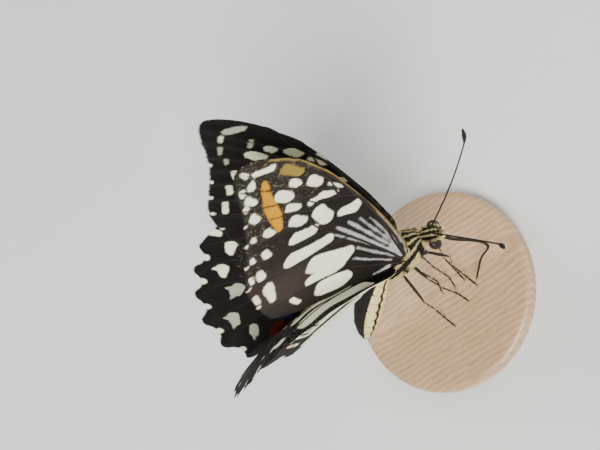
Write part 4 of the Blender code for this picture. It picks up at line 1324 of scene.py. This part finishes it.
# %% Feelers
# Root and heading of each
FEELERS = {
    "left": ((8.45, -0.62, 1.0), (0.937, 0.283, 0.281)),
    "right": ((8.15, -1.62, 0.95), (0.745, -0.651, 0.258)),
}
FEELER_LENGTH = 17.0
FEELER_SEGMENTS = 38
FEELER_RADIUS = 0.125
CLUB = 0.22
COLLAR = 0.14
feeler_finish = dark_horn("feeler", colour(0.006, 0.005, 0.005), colour(0.018, 0.013, 0.010), 0.42)


def feeler_mesh(side):
    root, heading = FEELERS[side]
    heading = Vector(heading).normalized()
    count = FEELER_SEGMENTS * 4
    path, sizes = [], []
    for i in range(count + 1):
        t = i / count
        bow = 0.7 * math.sin(math.pi * t)
        hook = max(0.0, (t - 0.86) / 0.14) ** 2
        path.append(Vector(root) + heading * FEELER_LENGTH * t - Vector((0, 0, bow))
                    + Vector((-0.2, 0.35 * SIDES[side], 0.7)) * hook)
        club = math.exp(-((t - 0.945) / 0.045) ** 2)
        collar = math.exp(-(t / 0.012) ** 2)
        bead = 1.0 + 0.10 * math.sin(2 * math.pi * (t * FEELER_SEGMENTS) - 1.2)
        sizes.append((FEELER_RADIUS - 0.02 * t + CLUB * club + COLLAR * collar) * bead)
    sizes[-1] = 0.10
    bm = bmesh.new()
    sweep(bm, path, sizes, sides=14)
    return mesh_of(bm)


for side in FEELERS:
    finish_piece(f"antenna_{side}_rod", feeler_mesh(side), feeler_finish,
                 [f"antenna_{side}"])

# %% [markdown]
# The tongue is two half tubes zipped together, so that it can suck. It comes out between the
# palps, bends at its knee and reaches down to the base. Two thin tubes side by side with a
# groove between them show that, and fine rings on them let it coil.

# %% Tongue and palps
TONGUE = ((7.35, -1.25, -1.1), (7.7, -2.15, -3.6), (8.8, -3.05, -6.6), (9.2, -3.7, -8.6),
          (8.5, -4.15, -10.0), (5.8, -4.2, -11.2), (3.4, -5.0, -12.5), (2.0, -5.6, -13.15))
# Along, to the side of and up from the neck
PALP = ((3.5, 0.55, -1.25), (3.85, 0.55, -1.0), (4.05, 0.52, -0.5), (4.15, 0.5, 0.0), (4.12, 0.48, 0.3))
PALP_RADIUS = 0.30


def tongue_mesh():
    path = smooth_path(TONGUE, 0.12)
    bm = bmesh.new()
    for out in SIDES.values():
        frames = ring_frames(path, [1.0] * len(path), [1.0] * len(path))
        moved = [f.translation + f.col[0].to_3d() * out * (0.12 - 0.05 * i / len(path))
                 for i, f in enumerate(frames)]
        sizes = [(0.17 - 0.08 * i / len(path)) * (1.0 + 0.05 * (i % 2)) for i in range(len(path))]
        sweep(bm, moved, sizes, sides=10)
    return mesh_of(bm)


def palp_mesh():
    bm = bmesh.new()
    for out in SIDES.values():
        path = smooth_path([NECK + turn_head @ Vector((x, out * y, z)) for x, y, z in PALP], 0.12)
        shares = [i / (len(path) - 1) for i in range(len(path))]
        sizes = [PALP_RADIUS * math.sin(math.pi * (0.18 + 0.76 * t)) + 0.04 for t in shares]
        sweep(bm, path, sizes, sides=16)
    return mesh_of(bm)


tongue_finish = dark_horn("tongue", colour(0.008, 0.006, 0.005), colour(0.028, 0.018, 0.012), 0.34)
finish_piece("tongue", tongue_mesh(), tongue_finish, ["proboscis"])
palps = palp_mesh()
set_field(palps, "cream", 0.25 - np.abs(points_of(palps)[:, 2] + 0.7) * 0.5)
finish_piece("palps", palps, hair_finish)

# %% [markdown]
# A leg is a chain: hip, thigh, shin and a foot of short segments that ends in two claws. Each
# length is a tube with its own swelling. Legs are dark above and in front and cream below and
# behind, their feet are dark, and fine bristles stand on all of them.

# %% Legs
# Hip, knee and the end of the shin, then heel and toe on the base
LEGS = {
    "leg_fore_right": ((3.2, -1.6, -2.0), (4.2, -3.0, -5.9), (1.4, -2.6, -9.4),
                       (0.4, -4.6), (1.1, -6.2)),
    "leg_mid_right": ((-0.4, -1.9, -2.2), (-1.6, -3.6, -6.2), (-2.6, -4.4, -9.8),
                      (-2.4, -5.9), (-1.5, -7.6)),
    "leg_hind_right": ((-2.6, -1.8, -1.8), (-4.6, -6.2, -6.6), (-6.0, -6.6, -10.2),
                       (-6.4, -8.2), (-5.6, -9.9)),
    "leg_fore_left": ((3.3, 0.9, -2.0), (3.0, -0.2, -6.0), (0.6, -0.8, -9.6),
                      (-0.9, -2.4), (-0.4, -4.1)),
    "leg_mid_left": ((0.6, 1.2, -2.4), (-0.6, 0.4, -5.8), (-2.0, -0.6, -9.2),
                     (-2.6, -2.4), (-2.4, -4.2)),
    "leg_hind_left": ((-2.2, 1.2, -2.0), (-3.6, 1.6, -6.0), (-4.8, 0.0, -9.6),
                      (-4.8, -1.9), (-4.9, -3.9)),
}
FOOT_RADIUS = 0.13
FOOT_TOP = -10.4
BRISTLE_WIDTH = 0.035


def leg_route(name):
    *upper, heel, toe = LEGS[name]
    return [Vector(p) for p in upper] + [floor_point(*p, FOOT_RADIUS) for p in (heel, toe)]


def limb(bm, start, end, thick, thin, swell, rings=10, sides=12):
    """One length of a leg, fuller near its middle and rounded at both ends."""
    path, sizes = [], []
    for i in range(rings + 1):
        t = i / rings
        path.append(start.lerp(end, t))
        round_off = min(1.0, 0.45 + 3.2 * min(t, 1 - t))
        sizes.append((thick + (thin - thick) * t + swell * math.sin(math.pi * t)) * round_off)
    sweep(bm, path, sizes, sides=sides)


def leg_mesh(name):
    hip, knee, shin, heel, toe = leg_route(name)
    bm = bmesh.new()
    limb(bm, hip + Vector((0, 0, 1.0)), hip + (knee - hip) * 0.08, 0.55, 0.34, 0.05)
    limb(bm, hip, knee, 0.24, 0.17, 0.06)
    limb(bm, knee, shin, 0.17, 0.13, 0.0)
    ankle = (heel - shin).normalized()
    for turn in (-0.5, 0.5):
        spur = Matrix.Rotation(turn, 3, "X") @ ankle
        limb(bm, shin, shin + spur * 0.9, 0.07, 0.02, 0.0, rings=3, sides=6)
    foot = [shin, shin.lerp(heel, 0.62), heel, heel.lerp(toe, 0.45), toe]
    for a, b in zip(foot, foot[1:]):
        limb(bm, a, b, 0.115, FOOT_RADIUS, 0.0, rings=5, sides=10)
    ahead = (toe - heel).normalized()
    for turn in (-0.45, 0.45):
        claw = Matrix.Rotation(turn, 3, "Z") @ ahead
        limb(bm, toe, toe + claw * 0.55 - Vector((0, 0, 0.03)), 0.06, 0.015, 0.0, rings=3, sides=6)
    return mesh_of(bm)


def leg_bristles(name):
    hip, knee, shin, heel, toe = leg_route(name)
    roots, ahead = [], []
    for a, b, count, thick in ((knee, shin, 46, 0.15), (shin, heel, 34, 0.10), (heel, toe, 22, 0.10),
                               (hip, knee, 60, 0.25)):
        run = (b - a).normalized()
        side = run.orthogonal().normalized()
        for t, turn in zip(random.random(count), random.uniform(0, 2 * math.pi, count)):
            out = Matrix.Rotation(turn, 3, run) @ side
            if b is toe and out.z < -0.2:
                continue
            roots.append(a.lerp(b, t) + out * thick)
            ahead.append(run + out * 0.75)
    roots, ahead = np.array(roots), np.array(ahead)
    normals = np.cross(ahead, np.array((0.3, 0.2, 1.0)))
    sizes = random.uniform(0.22, 0.42, len(roots))
    return scatter(bristle, roots, ahead, normals, sizes, np.full(len(roots), BRISTLE_WIDTH))


def leg_marks(name, places):
    """Depth inside the cream: how far a point lies below and behind its leg's middle line."""
    route = leg_route(name)
    middle = np.empty_like(places)
    best = np.full(len(places), 99.0)
    for a, b in zip(route, route[1:]):
        _, spots, apart = nearest_on(places, a, b)
        middle = np.where((apart < best)[:, None], spots, middle)
        best = np.minimum(best, apart)
    inward = middle - places
    cream = 0.6 * inward[:, 2] + 0.9 * inward[:, 0] - 0.03
    return np.where(places[:, 2] > FOOT_TOP, cream, -0.3)


leg_finish = dark_horn("leg", colour(0.007, 0.006, 0.005), colour(0.024, 0.017, 0.012), 0.45, CREAM_TONE)
for leg_name in LEGS:
    leg_data = leg_mesh(leg_name)
    set_field(leg_data, "cream", leg_marks(leg_name, points_of(leg_data)))
    finish_piece(leg_name + "_limb", leg_data, leg_finish, [leg_name])
    finish_piece(leg_name + "_bristles", leg_bristles(leg_name), feeler_finish)

# %% [markdown]
# The base is turned on a lathe, so it is a profile spun round its axis: a flat foot, a small
# cove, a rounded upper edge and a face that falls away a hair towards the rim. It keeps the
# height and radius of its solid. Each point of the profile is an inset from the rim and a
# height.

# %% The base
PROFILE = ((0.8, 0.0), (0.4, 0.15), (0.3, 0.7), (0.65, 1.05), (0.6, 1.35), (0.0, 1.75), (0.05, 2.35),
           (0.45, 2.8), (1.1, 2.97), (2.0, BASE_HEIGHT))


def base_mesh():
    bm = bmesh.new()
    points = smooth_path([(BASE_RADIUS - inset, height, 0.0) for inset, height in PROFILE], 0.22)
    points = [Vector((0.0, 0.0, 0.0))] + points + [Vector((0.0, BASE_HEIGHT, 0.0))]
    line = [bm.verts.new((p.x, 0.0, p.y)) for p in points]
    edges = [bm.edges.new(pair) for pair in zip(line, line[1:])]
    bmesh.ops.spin(bm, geom=line + edges, cent=(0, 0, 0), axis=(0, 0, 1), angle=2 * math.pi, steps=128,
                   use_merge=True)
    bmesh.ops.remove_doubles(bm, verts=bm.verts, dist=0.001)
    bmesh.ops.recalc_face_normals(bm, faces=bm.faces)
    mesh = mesh_of(bm)
    mesh.transform(Matrix.Scale(MM, 4))
    return mesh


def wood_material():
    """Pale turned wood: growth rings off centre, fine pores along the grain, thin varnish."""
    made, tree, shader = new_material("turned wood")
    place = add(tree, "ShaderNodeTexCoord").outputs["Object"]
    log = add(tree, "ShaderNodeMapping", {"Vector": place, "Location": (0.02, 0.06, 0.004),
                                          "Rotation": (0.12, 1.45, 0.3), "Scale": (140.0, 140.0, 14.0)})
    bent = add(tree, "ShaderNodeTexNoise", {"Vector": log.outputs["Vector"], "Scale": 1.1, "Detail": 4.0})
    rings = add(tree, "ShaderNodeTexWave", {"Vector": log.outputs["Vector"], "Scale": 2.3, "Distortion": 4.5,
                                            "Detail": 3.0, "Detail Scale": 0.7}, wave_type="RINGS",
                rings_direction="Z")
    pores = add(tree, "ShaderNodeMapping", {"Vector": place, "Rotation": (0.0, 0.0, 0.3),
                                            "Scale": (300.0, 5200.0, 5200.0)})
    pore = add(tree, "ShaderNodeTexNoise", {"Vector": pores.outputs["Vector"], "Scale": 1.0, "Detail": 3.0})
    tone = blend(tree, rings.outputs["Fac"], colour(0.52, 0.34, 0.18), colour(0.37, 0.22, 0.105))
    tone = blend(tree, sum_up(tree, "MULTIPLY", bent.outputs["Fac"], 0.5), tone, colour(0.60, 0.42, 0.25))
    dark = add(tree, "ShaderNodeMapRange", {"Value": pore.outputs["Fac"], "From Min": 0.56, "From Max": 0.70})
    tone = blend(tree, sum_up(tree, "MULTIPLY", dark.outputs["Result"], 0.55), tone, colour(0.20, 0.11, 0.05))
    set_inputs(tree, shader, {
        "Base Color": tone,
        "Roughness": sum_up(tree, "MULTIPLY_ADD", pore.outputs["Fac"], 0.25, 0.28),
        "Normal": relief(tree, sum_up(tree, "SUBTRACT", 1.0, dark.outputs["Result"]), 0.3, 0.05 * MM),
        "Coat Weight": 0.25, "Coat Roughness": 0.25})
    return made


finish_piece("base_turned", base_mesh(), wood_material(), ["stand_base"], placed=True, sharp=35)

# %% [markdown]
# A plain pale floor and three soft lamps, as in a small studio: a large key lamp over the
# camera's left, a broad fill on the other side and a rim lamp behind that draws the wing edges.

# %% Floor and light
def floor_material():
    made, tree, shader = new_material("pale floor")
    place = add(tree, "ShaderNodeTexCoord").outputs["Object"]
    cloud = add(tree, "ShaderNodeTexNoise", {"Vector": place, "Scale": 14.0, "Detail": 5.0})
    tone = blend(tree, cloud.outputs["Fac"], colour(0.70, 0.70, 0.68), colour(0.76, 0.76, 0.74))
    set_inputs(tree, shader, {"Base Color": tone, "Roughness": 0.85})
    return made


floor_bm = bmesh.new()
bmesh.ops.create_grid(floor_bm, x_segments=8, y_segments=8, size=2.0)
floor_data = mesh_of(floor_bm)
floor_data.materials.append(floor_material())
floor = new_object("floor", floor_data)

# Place, width and power of each, in metres and watts
LAMPS = {
    "key": ((0.10, -0.42, 0.46), 0.30, 6.6),
    "fill": ((0.46, 0.10, 0.26), 0.50, 1.4),
    "rim": ((-0.40, 0.30, 0.34), 0.30, 2.2),
}
for lamp_name, (spot, size, power) in LAMPS.items():
    light = bpy.data.lights.new(lamp_name, "AREA")
    light.size = size
    light.energy = power
    lamp = new_object(lamp_name, light)
    aim = Vector((0.0, 0.0, 0.03)) - Vector(spot)
    lamp.matrix_world = Matrix.Translation(spot) @ aim.to_track_quat("-Z", "Y").to_matrix().to_4x4()

world = bpy.data.worlds.new("studio")
bpy.context.scene.world = world
world.use_nodes = True
set_inputs(world.node_tree, world.node_tree.nodes["Background"],
           {"Color": colour(0.92, 0.95, 1.0), "Strength": 0.26})
print("lamps", len(LAMPS))
